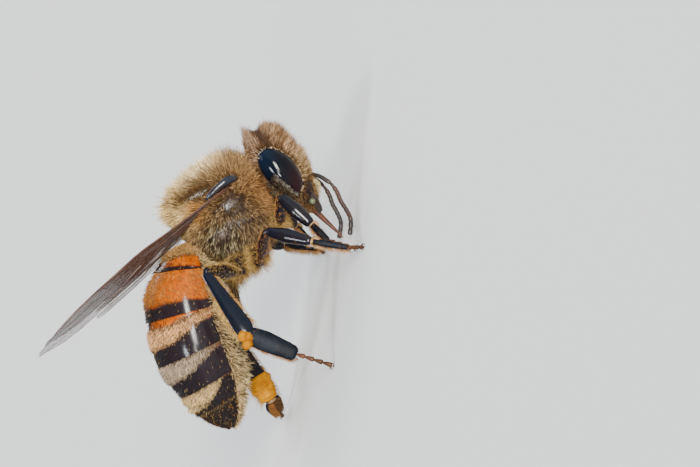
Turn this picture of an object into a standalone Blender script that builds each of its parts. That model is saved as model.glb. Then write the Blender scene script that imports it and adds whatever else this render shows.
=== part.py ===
"""A worker honey bee (Apis mellifera), life size, standing on level ground with its wings raised.

It faces +X with +Z up, and its right side is toward -Y. Everything is laid out in millimetres from the
point of the ground under the middle of the thorax, then set down with the middle of its footprint at the
origin. Body pieces reach out to the tips of their hairs.
"""

import math

import bmesh
import bpy
import numpy as np

MM = 0.001
GAP = 0.03  # between neighbouring pieces
THINNEST = 0.5  # legs, wings and feelers are never drawn thinner than this
BODY_SIDES = 20
LIMB_SIDES = 8

# Thorax: its long axis dips toward the head.
THORAX = np.array([0.01, 0, 4.85])
THORAX_DIP = math.radians(25)
THORAX_HALF_WIDTH = 2.2
THORAX_BOXINESS = 2.3
# Outline in the middle plane: angle up from the long axis, and the distance out to the hair tips.
THORAX_OUTLINE = (
    (-15, 1.85), (10, 2.45), (38, 2.8), (60, 2.42), (82, 2.38), (103, 2.54), (126, 2.77),
    (140, 2.25), (156, 1.9), (190, 1.95), (230, 2.2), (270, 2.3), (300, 2.2), (345, 1.85),
)

# Head: the face looks forward and down, and the mouth points down and back.
HEAD = np.array([1.98, 0, 3.33])
FACE_DIP = math.radians(34)
# Distance toward the mouth, half width, front of the face, back of the head.
HEAD_STATIONS = (
    (-2.22, 0.3, 0.6, 0.3), (-2.0, 0.85, 0.88, 0.12), (-1.55, 1.2, 1.28, -0.22), (-1.0, 1.42, 1.53, -0.62),
    (-0.4, 1.58, 1.63, -0.82), (0.2, 1.6, 1.55, -0.82), (0.8, 1.4, 1.3, -0.74), (1.4, 1.05, 1.08, -0.5),
    (1.85, 0.78, 0.75, -0.2), (2.15, 0.45, 0.5, 0.05),
)
EYE_OUT = 1.35
EYE_HALF = (0.59, 0.55, 1.17)  # through the face, sideways, toward the mouth

# Abdomen: its axis runs back and down from the waist.
WAIST = np.array([-1.91, 0, 5.44])
ABDOMEN_DIP = math.radians(31)
# Distance back along the axis, top, underside, half width.
ABDOMEN_STATIONS = (
    (-0.75, 0.7, 0.0, 0.35), (-0.55, 1.4, -0.2, 0.9), (-0.2, 2.0, -0.36, 1.5), (0.35, 2.5, -0.5, 1.9),
    (1.2, 2.76, -0.6, 2.15), (2.8, 2.95, -0.7, 2.3), (3.9, 2.85, -0.68, 2.2), (5.0, 2.42, -0.48, 1.8),
    (5.7, 2.08, -0.2, 1.4), (6.2, 1.7, 0.05, 1.0), (6.6, 1.2, 0.35, 0.5), (6.75, 0.9, 0.55, 0.15),
)
SEGMENT_ENDS = (-0.75, 0.2, 1.8, 3.3, 4.45, 5.4, 6.75)

# Wings: hinged beside the thorax, raised toward the tail and spread a little.
WING_HINGE = np.array([0.95, 1.78, 5.15])
WING_RISE = {-1: math.radians(33.8), 1: math.radians(32.2)}  # right, left
WING_SPREAD = math.radians(21)
WING_ROLL = math.radians(14)
FOREWING_LENGTH = 9.4
# Share of the length, leading edge, trailing edge.
FOREWING_STATIONS = (
    (0.0, 0.0, 0.3), (0.1, 0.0, 0.62), (0.25, 0.0, 1.2), (0.45, 0.0, 2.1), (0.65, 0.04, 2.75), (0.8, 0.12, 3.0),
    (0.9, 0.35, 2.85), (0.96, 0.75, 2.5), (1.0, 1.3, 2.0),
)
# Share of the forewing's length, width.
HINDWING_STATIONS = ((0.04, 0.3), (0.15, 0.6), (0.3, 0.88), (0.45, 0.95), (0.58, 0.85), (0.65, 0.55), (0.68, 0.25))

# Legs, right side as y < 0: base of the coxa, hip, knee, end of the tibia, end of the basitarsus, sole.
RIGHT_LEGS = {
    "front": ((0.45, -0.75, 3.3), (-0.15, -1.1, 2.75), (1.0, -2.2, 3.22), (0.21, -2.6, 1.85),
              (-0.27, -2.95, 1.1), (-0.35, -3.5, 0.16)),
    "middle": ((-0.9, -0.9, 3.5), (-1.7, -1.6, 3.3), (-0.52, -3.1, 3.54), (-0.55, -4.0, 1.88),
               (-0.48, -4.4, 0.5), (-0.4, -5.15, 0.16)),
    "hind": ((-1.5, -0.8, 4.1), (-2.16, -1.35, 3.9), (-2.59, -2.9, 5.44), (-4.56, -3.8, 3.38),
             (-4.88, -4.1, 1.45), (-5.0, -4.6, 0.16)),
}
LEFT_LEGS = {
    "front": ((0.45, 0.75, 3.3), (-0.1, 1.1, 2.75), (1.15, 2.25, 3.1), (0.45, 2.75, 1.75),
              (0.05, 3.15, 1.0), (0.1, 3.75, 0.16)),
    "middle": ((-0.9, 0.9, 3.5), (-1.7, 1.6, 3.3), (-0.5, 3.1, 3.6), (-0.35, 3.95, 1.9),
               (-0.15, 4.35, 0.5), (-0.1, 5.05, 0.16)),
    "hind": ((-1.5, 0.8, 4.1), (-2.4, 1.45, 3.8), (-4.5, 3.0, 2.95), (-6.45, 4.0, 0.9),
             (-6.8, 5.1, 0.38), (-6.9, 5.75, 0.16)),
}
# Width of each length of a leg where it starts, at its widest and where it ends, and the share where it is widest.
LEG_WIDTHS = {
    "front": {"coxa": (0.62, 0.66, 0.58, 0.5), "femur": (0.5, 0.56, 0.58, 0.4), "tibia": (0.5, 0.52, 0.56, 0.8),
              "basitarsus": (0.5, 0.5, 0.52, 0.5), "tarsus": (0.5, 0.5, 0.5, 0.5)},
    "middle": {"coxa": (0.9, 0.96, 0.62, 0.4), "femur": (0.5, 0.62, 0.58, 0.45), "tibia": (0.5, 0.56, 0.58, 0.75),
               "basitarsus": (0.5, 0.54, 0.52, 0.5), "tarsus": (0.5, 0.5, 0.5, 0.5)},
    "hind": {"coxa": (1.0, 1.06, 0.66, 0.4), "femur": (0.52, 0.72, 0.6, 0.5), "tibia": (0.5, 0.86, 0.8, 0.85),
             "basitarsus": (0.6, 0.7, 0.54, 0.45), "tarsus": (0.5, 0.5, 0.5, 0.5)},
}
LEG_LENGTHS = ("coxa", "femur", "tibia", "basitarsus", "tarsus")

# Feelers, mouthparts and pollen, right side as y < 0.
ANTENNA = ((2.2, -0.42, 2.12), (2.1, -0.9, 1.3), (1.75, -1.02, 0.92), (1.0, -1.22, 0.44), (0.26, -1.4, 0.27))
MANDIBLE = ((1.55, -0.66, 2.15), (1.5, -0.62, 1.75), (1.33, -0.36, 1.3))
PROBOSCIS = ((0.98, 0, 1.75), (0.92, 0, 1.45), (0.66, 0, 0.95), (0.33, 0, 0.28))
POLLEN_RIGHT = (np.array([-4.78, -4.05, 3.36]), 0.42)
POLLEN_LEFT = (np.array([-6.0, 3.95, 1.5]), 0.55)
TEGULA = (np.array([0.98, -1.95, 5.35]), (0.5, 0.34, 0.36))

COLOURS = {  # base colour, roughness
    "hair": ((0.42, 0.27, 0.12), 0.9),
    "orange_shell": ((0.55, 0.24, 0.06), 0.35),
    "black_shell": ((0.02, 0.018, 0.018), 0.3),
    "eye": ((0.012, 0.01, 0.012), 0.15),
    "tongue": ((0.35, 0.12, 0.04), 0.4),
    "feeler": ((0.05, 0.03, 0.02), 0.45),
    "wing": ((0.3, 0.22, 0.2), 0.3),
    "pollen": ((0.75, 0.45, 0.05), 0.9),
}


def clear_scene():
    for item in list(bpy.data.objects):
        bpy.data.objects.remove(item, do_unlink=True)


def make_materials():
    made = {}
    for name, (colour, roughness) in COLOURS.items():
        material = bpy.data.materials.new(name)
        material.use_nodes = True
        surface = material.node_tree.nodes["Principled BSDF"]
        surface.inputs["Base Color"].default_value = (*colour, 1)
        surface.inputs["Roughness"].default_value = roughness
        surface.inputs["Metallic"].default_value = 0
        made[name] = material
    return made


def unit(vector):
    return vector / np.linalg.norm(vector)


def smooth_stations(stations, steps):
    """Stations read from a smooth curve through the given ones, steps to each stretch."""
    points = np.array(stations, float)
    padded = np.vstack([2 * points[0] - points[1], points, 2 * points[-1] - points[-2]])
    rows = []
    for before, start, end, after in zip(padded, padded[1:], padded[2:], padded[3:]):
        for step in range(steps):
            t = step / steps
            rows.append(
                0.5 * (2 * start + (end - before) * t + (2 * before - 5 * start + 4 * end - after) * t**2
                       + (3 * start - before - 3 * end + after) * t**3)
            )
    rows.append(points[-1])
    return np.array(rows)


def loft(rings):
    """A closed mesh through rings of equally many points, with a flat cap on the first and the last."""
    mesh = bmesh.new()
    rows = [[mesh.verts.new(point * MM) for point in ring] for ring in rings]
    sides = len(rows[0])
    for row, following in zip(rows, rows[1:]):
        for i in range(sides):
            j = (i + 1) % sides
            mesh.faces.new((row[i], row[j], following[j], following[i]))
    mesh.faces.new(reversed(rows[0]))
    mesh.faces.new(rows[-1])
    bmesh.ops.recalc_face_normals(mesh, faces=mesh.faces)
    return mesh


def superellipse(angle, boxiness):
    """Cosine and sine of the angle, pushed out toward a box as boxiness goes above 2."""
    c, s = math.cos(angle), math.sin(angle)
    reach = (abs(c) ** boxiness + abs(s) ** boxiness) ** (-1 / boxiness)
    return c * reach, s * reach


def add_object(name, mesh, material, cutter=False):
    data = bpy.data.meshes.new(name)
    mesh.to_mesh(data)
    mesh.free()
    data.shade_smooth()
    data.set_sharp_from_angle(angle=math.radians(50))
    item = bpy.data.objects.new(name, data)
    bpy.context.scene.collection.objects.link(item)
    item.hide_render = cutter
    item.display_type = "WIRE" if cutter else "TEXTURED"
    if material:
        data.materials.append(material)
    return item


def head_axes():
    forward = np.array([math.cos(FACE_DIP), 0, -math.sin(FACE_DIP)])
    mouthward = np.array([-math.sin(FACE_DIP), 0, -math.cos(FACE_DIP)])
    return forward, mouthward


def abdomen_axes():
    back = np.array([-math.cos(ABDOMEN_DIP), 0, -math.sin(ABDOMEN_DIP)])
    up = np.array([-math.sin(ABDOMEN_DIP), 0, math.cos(ABDOMEN_DIP)])
    return back, up


SIDE = np.array([0, 1, 0])


def thorax_mesh(grow=0.0):
    """The middle-plane outline, carried out to each side and shrinking like a rounded box."""
    forward = np.array([math.cos(THORAX_DIP), 0, -math.sin(THORAX_DIP)])
    up = np.array([math.sin(THORAX_DIP), 0, math.cos(THORAX_DIP)])
    outline = smooth_stations(THORAX_OUTLINE, 2)[:-1]
    rings = []
    for turn in np.linspace(-80, 80, 13):
        share, out = superellipse(math.radians(turn), THORAX_BOXINESS)
        ring = []
        for angle, reach in outline:
            a = math.radians(angle)
            away = (reach + grow) * share * (math.cos(a) * forward + math.sin(a) * up)
            ring.append(THORAX + away + out * (THORAX_HALF_WIDTH + grow) * SIDE)
        rings.append(ring)
    return loft(rings)


def head_mesh(grow=0.0):
    forward, mouthward = head_axes()
    rings = []
    for down, half_width, front, back in smooth_stations(HEAD_STATIONS, 2):
        middle, depth = (front + back) / 2, (front - back) / 2 + grow
        ring = []
        for i in range(BODY_SIDES):
            across, ahead = superellipse(2 * math.pi * i / BODY_SIDES, 2.3)
            ring.append(HEAD + down * mouthward + across * (half_width + grow) * SIDE
                        + (middle + ahead * depth) * forward)
        rings.append(ring)
    return loft(rings)


def ellipsoid_mesh(centre, axes, halves, sides, rings, grow):
    rows = []
    for turn in np.linspace(-78, 78, rings):
        level, share = math.sin(math.radians(turn)), math.cos(math.radians(turn))
        ring = []
        for i in range(sides):
            angle = 2 * math.pi * i / sides
            ring.append(centre + share * math.cos(angle) * (halves[0] + grow) * axes[0]
                        + share * math.sin(angle) * (halves[1] + grow) * axes[1]
                        + level * (halves[2] + grow) * axes[2])
        rows.append(ring)
    return loft(rows)


def eye_mesh(side, grow=0.0):
    forward, mouthward = head_axes()
    return ellipsoid_mesh(HEAD + side * EYE_OUT * SIDE, (forward, SIDE, mouthward), EYE_HALF, 14, 9, grow)


def abdomen_ring(distance):
    back, up = abdomen_axes()
    rows = smooth_stations(ABDOMEN_STATIONS, 4)
    top, under, half_width = (np.interp(distance, rows[:, 0], rows[:, i]) for i in (1, 2, 3))
    middle, half_height = (top + under) / 2, (top - under) / 2
    ring = []
    for i in range(BODY_SIDES):
        across, rise = superellipse(2 * math.pi * i / BODY_SIDES, 2.15)
        ring.append(WAIST + distance * back + across * half_width * SIDE + (middle + rise * half_height) * up)
    return ring


def abdomen_segment_mesh(start, end, rings):
    return loft([abdomen_ring(d) for d in np.linspace(start + GAP / 2, end - GAP / 2, rings)])


def limb_frame(axis):
    """Across lies in the bee's side view, and through points out of it."""
    across = unit(np.cross(axis, SIDE))
    return across, unit(np.cross(axis, across))


def limb_mesh(points, widths, grow=0.0, domed=True, steps=3, sides=LIMB_SIDES):
    """A tube along the points; widths hold (share of its length, width), and a domed end is rounded off."""
    path = smooth_stations(points, steps) if len(points) > 2 else np.linspace(points[0], points[1], 4)
    lengths = np.concatenate([[0], np.cumsum(np.linalg.norm(np.diff(path, axis=0), axis=1))])
    shares, breadths = np.array(widths).T
    rings = []

    def add_ring(centre, axis, width, scale=1.0):
        across, through = limb_frame(axis)
        wide, deep = width / 2 + grow, max(THINNEST, 0.62 * width) / 2 + grow
        ring = []
        for i in range(sides):
            angle = 2 * math.pi * i / sides
            point = centre + scale * (math.cos(angle) * wide * across + math.sin(angle) * deep * through)
            ring.append(np.array([point[0], point[1], max(point[2], 0)]))
        rings.append(ring)

    for i, centre in enumerate(path):
        axis = unit(path[min(i + 1, len(path) - 1)] - path[max(i - 1, 0)])
        add_ring(centre, axis, np.interp(lengths[i] / lengths[-1], shares, breadths))
    if domed:
        radius = breadths[-1] / 2
        for turn in (35, 68):
            reach, share = math.sin(math.radians(turn)), math.cos(math.radians(turn))
            add_ring(path[-1] + reach * (radius + grow) * axis, axis, breadths[-1], share)
    return loft(rings)


def leg_length_mesh(pair, joints, index, grow=0.0):
    start, widest, end, share = LEG_WIDTHS[pair][LEG_LENGTHS[index]]
    widths = ((0, start), (share, widest), (1, end))
    return limb_mesh((np.array(joints[index]), np.array(joints[index + 1])), widths, grow)


def wing_axes(side):
    """Along the leading edge, across toward the trailing edge, and out of the wing."""
    flat, rise = math.cos(WING_RISE[side]), math.sin(WING_RISE[side])
    along = np.array([-flat * math.cos(WING_SPREAD), side * flat * math.sin(WING_SPREAD), rise])
    level = np.array([-math.sin(WING_SPREAD), -side * math.cos(WING_SPREAD), 0])
    steep = np.cross(along, level) * -side
    steep = steep if steep[2] > 0 else -steep
    across = math.cos(WING_ROLL) * level + math.sin(WING_ROLL) * steep
    return along, across, np.cross(along, across)


def wing_slab(side, rows):
    """Rows hold the share of the forewing's length, the leading edge and the trailing edge."""
    along, across, out = wing_axes(side)
    hinge = WING_HINGE * (1, side, 1)
    rings = []
    for share, leading, trailing in rows:
        ring = []
        for edge, face in ((leading, -1), (trailing, -1), (trailing, 1), (leading, 1)):
            ring.append(hinge + share * FOREWING_LENGTH * along + edge * across + face * THINNEST / 2 * out)
        rings.append(ring)
    return loft(rings)


def hindwing_rows():
    fore = smooth_stations(FOREWING_STATIONS, 4)
    rows = []
    for share, width in smooth_stations(HINDWING_STATIONS, 2):
        leading = np.interp(share, fore[:, 0], fore[:, 2]) + GAP
        rows.append((share, leading, leading + width))
    return rows


def mirrored(points, side):
    return [np.array(point) * (1, -side, 1) for point in points]


class Bee:
    """Holds the pieces as they are made, and the grown copies that cut their neighbours."""

    def __init__(self, materials):
        self.materials = materials
        self.cutters = {}

    def add(self, name, build, colour, cut_by=()):
        """Build takes how far to grow the piece. Each name in cut_by is a piece that this one gives way to."""
        item = add_object(name, build(0.0), self.materials[colour])
        self.cutters[name] = build
        for other in cut_by:
            cutter_name = "grown_" + other
            cutter = bpy.data.objects.get(cutter_name)
            if cutter is None:
                cutter = add_object(cutter_name, self.cutters[other](GAP), None, cutter=True)
            cut = item.modifiers.new("clear_of_" + other, "BOOLEAN")
            cut.operation = "DIFFERENCE"
            cut.object = cutter
        return item


def add_head(bee):
    for side, letter in ((-1, "r"), (1, "l")):
        bee.add(f"eye_{letter}", lambda grow, side=side: eye_mesh(side, grow), "eye")
    bee.add("head", head_mesh, "hair", ("eye_r", "eye_l"))
    bee.add("proboscis", lambda grow: limb_mesh([np.array(p) for p in PROBOSCIS],
            ((0, 0.58), (0.4, 0.54), (1, 0.5)), grow), "tongue", ("head",))
    for side, letter in ((-1, "r"), (1, "l")):
        bee.add(f"mandible_{letter}", lambda grow, side=side: limb_mesh(mirrored(MANDIBLE, side),
                ((0, 0.6), (1, 0.5)), grow), "black_shell", ("head", "proboscis"))
        scape, flagellum = mirrored(ANTENNA[:2], side), mirrored(ANTENNA[1:], side)
        bee.add(f"antenna_scape_{letter}", lambda grow, points=scape: limb_mesh(points,
                ((0, 0.5), (1, 0.56)), grow), "feeler", ("head",))
        bee.add(f"antenna_flagellum_{letter}", lambda grow, points=flagellum: limb_mesh(points,
                ((0, 0.5), (1, 0.5)), grow, steps=2), "feeler", (f"antenna_scape_{letter}",))


def add_trunk(bee):
    for side, letter in ((-1, "r"), (1, "l")):
        centre, halves = TEGULA
        centre = centre * (1, -side, 1)
        bee.add(f"tegula_{letter}", lambda grow, at=centre: ellipsoid_mesh(at, np.eye(3), TEGULA[1], 10, 6, grow),
                "black_shell")
    bee.add("thorax", thorax_mesh, "hair", ("head", "tegula_r", "tegula_l"))


def add_abdomen(bee):
    colours = ("orange_shell", "orange_shell", "orange_shell", "black_shell", "black_shell", "black_shell")
    for number, (start, end) in enumerate(zip(SEGMENT_ENDS, SEGMENT_ENDS[1:]), 1):
        bee.add(f"abdomen_segment_{number}", lambda grow, a=start, b=end: abdomen_segment_mesh(a, b, 6),
                colours[number - 1], ("thorax",) if number < 3 else ())


def add_wings(bee):
    for side, letter in ((-1, "r"), (1, "l")):
        bee.add(f"forewing_{letter}", lambda grow, side=side: wing_slab(side, smooth_stations(FOREWING_STATIONS, 2)),
                "wing", ("thorax", f"tegula_{letter}"))
        bee.add(f"hindwing_{letter}", lambda grow, side=side: wing_slab(side, hindwing_rows()),
                "wing", ("thorax", f"tegula_{letter}"))


def add_legs(bee):
    for letter, legs in (("r", RIGHT_LEGS), ("l", LEFT_LEGS)):
        for pair, joints in legs.items():
            before = "thorax"
            for index, length in enumerate(LEG_LENGTHS):
                name = f"{pair}_leg_{letter}_{length}"
                bee.add(name, lambda grow, p=pair, j=joints, i=index: leg_length_mesh(p, j, i, grow),
                        "black_shell", ("thorax", before) if length == "femur" else (before,))
                before = name


def add_pollen(bee):
    for letter, (centre, radius) in (("r", POLLEN_RIGHT), ("l", POLLEN_LEFT)):
        halves = (radius, radius * 0.85, radius)
        bee.add(f"pollen_load_{letter}", lambda grow, at=centre, h=halves: ellipsoid_mesh(at, np.eye(3), h, 12, 7, grow),
                "pollen", (f"hind_leg_{letter}_tibia", f"hind_leg_{letter}_basitarsus"))


def set_down():
    """Puts every piece under one empty, which carries the middle of the footprint to the origin."""
    stand = bpy.data.objects.new("honey_bee", None)
    bpy.context.scene.collection.objects.link(stand)
    bpy.context.view_layer.update()
    graph = bpy.context.evaluated_depsgraph_get()
    corners = []
    for item in bpy.data.objects:
        if item.type == "MESH" and not item.hide_render:
            corners += [item.matrix_world @ vertex.co for vertex in item.evaluated_get(graph).data.vertices]
    low, high = np.min(corners, axis=0), np.max(corners, axis=0)
    stand.location = (-(low[0] + high[0]) / 2, -(low[1] + high[1]) / 2, -low[2])
    for item in bpy.data.objects:
        if item.type == "MESH":
            item.parent = stand


def main():
    clear_scene()
    bee = Bee(make_materials())
    add_head(bee)
    add_trunk(bee)
    add_abdomen(bee)
    add_wings(bee)
    add_legs(bee)
    add_pollen(bee)
    set_down()


main()
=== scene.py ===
# %% [markdown]
# # A worker honey bee, life size
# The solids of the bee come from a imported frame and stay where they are. This lesson dresses them: shell
# plates, eyes, wings and legs are modelled over the solids, and a coat of over a hundred thousand hairs is
# grown on the skin, out to where the solids end. Modelling is done in millimetres on a bench whose zero is
# the ground under the middle of the thorax, and each finished piece is then carried to the frame in metres.

import math
from functools import partial

import bpy
import numpy as np
from mathutils import Matrix, Vector
from mathutils.bvhtree import BVHTree
from mathutils.kdtree import KDTree


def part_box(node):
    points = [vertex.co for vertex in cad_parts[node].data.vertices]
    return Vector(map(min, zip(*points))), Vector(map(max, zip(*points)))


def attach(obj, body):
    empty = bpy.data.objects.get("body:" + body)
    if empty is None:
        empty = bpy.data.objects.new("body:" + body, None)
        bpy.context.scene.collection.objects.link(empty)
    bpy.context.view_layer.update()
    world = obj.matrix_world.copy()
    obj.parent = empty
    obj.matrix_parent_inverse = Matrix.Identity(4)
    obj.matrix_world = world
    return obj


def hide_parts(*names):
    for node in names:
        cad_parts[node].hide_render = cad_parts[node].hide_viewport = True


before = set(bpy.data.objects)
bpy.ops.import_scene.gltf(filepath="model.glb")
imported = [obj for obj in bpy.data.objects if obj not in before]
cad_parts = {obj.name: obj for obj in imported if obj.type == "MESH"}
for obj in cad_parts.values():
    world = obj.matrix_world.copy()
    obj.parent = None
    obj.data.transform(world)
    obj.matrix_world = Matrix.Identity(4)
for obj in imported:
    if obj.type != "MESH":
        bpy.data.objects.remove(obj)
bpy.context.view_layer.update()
bpy.ops.object.select_all(action="DESELECT")
print("solids:", len(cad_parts))

# %% [markdown]
# ## Where things are
# The two eyes fix the bench: their middle is the middle of the head. Axes are named for the bee. The thorax
# dips toward the head, the face dips further, and the abdomen slopes down toward the tail.

# %% Landmarks
MM = 0.001
SIDE = np.array([0.0, 1.0, 0.0])
HEAD = np.array([1.98, 0.0, 3.33])
THORAX = np.array([0.01, 0.0, 4.85])
WAIST = np.array([-1.91, 0.0, 5.44])
LETTERS = {-1: "r", 1: "l"}


def node_middle(name):
    low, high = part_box(name)
    return (np.array(low) + np.array(high)) / 2 / MM


BENCH = (node_middle("eye_r") + node_middle("eye_l")) / 2 - HEAD


def dipping(degrees):
    """Forward and up, for a part whose long axis dips this far toward the head."""
    a = math.radians(degrees)
    return np.array([math.cos(a), 0, -math.sin(a)]), np.array([math.sin(a), 0, math.cos(a)])


THORAX_FORWARD, THORAX_UP = dipping(25)
FACE, CROWN = dipping(34)
MOUTHWARD = -CROWN
ABDOMEN_FORWARD, ABDOMEN_UP = dipping(-31)
TAILWARD = -ABDOMEN_FORWARD
print("bench zero in the frame, mm:", BENCH.round(3))

# %% [markdown]
# ## Camera, floor and light
# The bee is seen from its right side, a little from behind and from just above the ground, through a long
# lens. The camera is rolled over, so the bee climbs up the picture. The floor is plain and pale. A strip of
# five narrow lamps, one over the other on the camera's side, leaves thin bright streaks on the shell, and a
# lamp like a window gives a second glint. Wide lamps above and behind the bee light its hair.

# %% Camera
VIEW_BEHIND, VIEW_ABOVE, VIEW_ROLL = (math.radians(v) for v in (5, 8, 76))
VIEW_DISTANCE = 160.0  # from the bee to the camera
VIEW_WIDTH = 27.45  # how much the picture takes in at that distance
VIEW_AIM = np.array([0.4436, 0.0, -0.0796])
SENSOR = 36.0
NEAREST_SEEN = 0.002  # metres


def add_object(name, data):
    """A new object in the scene that holds this data."""
    made = bpy.data.objects.new(name, data)
    bpy.context.scene.collection.objects.link(made)
    return made


def make_camera():
    """The camera and its directions: into the picture, level, rising, and the picture's right and up."""
    looking = np.array([math.sin(VIEW_BEHIND) * math.cos(VIEW_ABOVE),
                        math.cos(VIEW_BEHIND) * math.cos(VIEW_ABOVE), -math.sin(VIEW_ABOVE)])
    level = np.array([math.cos(VIEW_BEHIND), -math.sin(VIEW_BEHIND), 0])
    rise = np.cross(level, looking)
    right = math.cos(VIEW_ROLL) * level - math.sin(VIEW_ROLL) * rise
    up = math.sin(VIEW_ROLL) * level + math.cos(VIEW_ROLL) * rise
    place = (VIEW_AIM - looking * VIEW_DISTANCE + BENCH) * MM
    data = bpy.data.cameras.new("camera")
    data.sensor_width = SENSOR
    data.lens = SENSOR * VIEW_DISTANCE / VIEW_WIDTH
    data.clip_start = NEAREST_SEEN
    camera = add_object("camera", data)
    rows = [[right[i], up[i], -looking[i], place[i]] for i in range(3)]
    camera.matrix_world = Matrix(rows + [[0, 0, 0, 1]])
    bpy.context.scene.camera = camera
    return looking, level, rise, right, up


LOOKING, LEVEL, RISE, PICTURE_RIGHT, PICTURE_UP = make_camera()
print("lens:", round(bpy.context.scene.camera.data.lens, 1), "mm")

# %% Floor, lamps and sky
FLOOR_SIDE = 6.0  # metres, so that its edge is out of sight
FLOOR_GREY, FLOOR_ROUGHNESS = (0.66, 0.65, 0.63), 0.9
SKY_BLUE, SKY_STRENGTH = (0.90, 0.93, 1.0), 0.32


def make_floor():
    bpy.ops.mesh.primitive_plane_add(size=FLOOR_SIDE)
    floor = bpy.context.object
    floor.name = "floor"
    material = bpy.data.materials.new("pale floor")
    material.use_nodes = True
    surface = material.node_tree.nodes["Principled BSDF"]
    surface.inputs["Base Color"].default_value = (*FLOOR_GREY, 1)
    surface.inputs["Roughness"].default_value = FLOOR_ROUGHNESS
    floor.data.materials.append(material)


def make_lamp(name, toward, softness, strength, colour):
    """A far lamp on the given side. Softness is how wide it looks from the bee, in degrees."""
    data = bpy.data.lights.new(name, "SUN")
    data.angle, data.energy, data.color = math.radians(softness), strength, colour
    lamp = add_object(name, data)
    lamp.rotation_euler = Vector(-toward).to_track_quat("-Z", "Y").to_euler()


def make_sky():
    world = bpy.data.worlds.new("sky")
    world.use_nodes = True
    background = world.node_tree.nodes["Background"]
    background.inputs["Color"].default_value = (*SKY_BLUE, 1)
    background.inputs["Strength"].default_value = SKY_STRENGTH
    bpy.context.scene.world = world


make_floor()
# A tall strip of narrow lamps gives the long glint down the abdomen. It stays just above the floor.
# Up and right in the picture from the camera, softness, strength.
STRIP = ((0.30, -0.04, 10.5, 2.9), (0.18, -0.03, 10.5, 2.9), (0.06, -0.03, 10.5, 2.6),
         (-0.14, -0.08, 6.5, 0.7), (-0.34, -0.13, 6.5, 1.6))
for number, (climb, shift, softness, strength) in enumerate(STRIP, 1):
    toward = -LOOKING + climb * PICTURE_UP + shift * PICTURE_RIGHT
    make_lamp(f"strip_{number}", toward, softness, strength, (1.0, 0.97, 0.93))
make_lamp("window", -0.78 * LOOKING - 0.30 * PICTURE_UP - 0.55 * PICTURE_RIGHT, 12, 2.6, (0.88, 0.94, 1.0))
make_lamp("top", -0.45 * LOOKING + 0.85 * PICTURE_UP - 0.1 * PICTURE_RIGHT, 75, 1.7, (0.76, 0.88, 1.0))
make_lamp("overhead", RISE - 0.2 * LOOKING, 26, 1.0, (0.82, 0.91, 1.0))
make_lamp("back", LOOKING + 0.9 * RISE + 0.4 * LEVEL, 45, 2.4, (0.96, 0.98, 1.0))
make_sky()
print("stage set with", len(bpy.data.lights), "lamps")

# %% [markdown]
# ## Bench tools
# Limbs are drawn as a turner would: a disc is extruded along its axis, resized at each station and closed.
# A round body starts as a sphere whose points are then moved out by a formula. A plate starts as a grid
# that is wrapped round the body and thickened. `keep` carries a finished piece to the frame.


# %% Selecting, editing and joining
def active(piece):
    bpy.ops.object.select_all(action="DESELECT")
    piece.select_set(True)
    bpy.context.view_layer.objects.active = piece


def new_piece(add, **settings):
    """Start a piece from one of the plain shapes."""
    bpy.ops.object.select_all(action="DESELECT")
    add(**settings)
    return bpy.context.object


def edited(piece, change, **settings):
    """Change the whole of a piece in edit mode."""
    active(piece)
    bpy.ops.object.mode_set(mode="EDIT")
    bpy.ops.mesh.select_all(action="SELECT")
    change(**settings)
    bpy.ops.object.mode_set(mode="OBJECT")
    return piece


def faces_out(piece):
    return edited(piece, bpy.ops.mesh.normals_make_consistent, inside=False)


def points_of(mesh):
    flat = np.empty(len(mesh.vertices) * 3)
    mesh.vertices.foreach_get("co", flat)
    return flat.reshape(-1, 3)


def set_points(piece, points):
    piece.data.vertices.foreach_set("co", np.ascontiguousarray(points, float).ravel())
    piece.data.update()


def settled(piece):
    """Give the faces one fixed order, because a new sphere or disc lists its faces differently each time."""
    data = piece.data
    spots = data.uv_layers[0].data
    faces = []
    for face in data.polygons:
        corners = [(data.loops[i].vertex_index, *spots[i].uv) for i in face.loop_indices]
        first = corners.index(min(corners))
        faces.append(corners[first:] + corners[:first])
    faces.sort()
    points = points_of(data).tolist()
    data.clear_geometry()
    data.from_pydata(points, [], [[corner[0] for corner in face] for face in faces])
    flat = [value for face in faces for corner in face for value in corner[1:]]
    data.uv_layers.new(name="UVMap").data.foreach_set("uv", flat)
    return piece


def apply_modifier(piece, kind, **settings):
    active(piece)
    modifier = piece.modifiers.new(kind.lower(), kind)
    for key, value in settings.items():
        setattr(modifier, key, value)
    bpy.ops.object.modifier_apply(modifier=modifier.name)


def smoothed(piece):
    apply_modifier(piece, "SUBSURF", levels=1, render_levels=1)
    return piece


def shaded(piece, angle=40):
    active(piece)
    bpy.ops.object.shade_smooth_by_angle(angle=math.radians(angle))
    return piece


def joined(pieces):
    bpy.ops.object.select_all(action="DESELECT")
    for piece in pieces:
        piece.select_set(True)
    bpy.context.view_layer.objects.active = pieces[0]
    if len(pieces) > 1:
        bpy.ops.object.join()
    return pieces[0]


# %% Carry to the frame
def keep(piece, name, material, slot, *nodes):
    """Name a finished piece, carry it to the frame and let it stand for the nodes it covers."""
    set_points(piece, (points_of(piece.data) + BENCH) * MM)
    piece.name = piece.data.name = name
    piece.data.materials.clear()
    piece.data.materials.append(material)
    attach(piece, "root")
    if nodes:
        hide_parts(*nodes)


# %% Curves, tubes and balls
def unit(vectors):
    vectors = np.asarray(vectors, float)
    return vectors / np.maximum(np.linalg.norm(vectors, axis=-1, keepdims=True), 1e-12)


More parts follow.
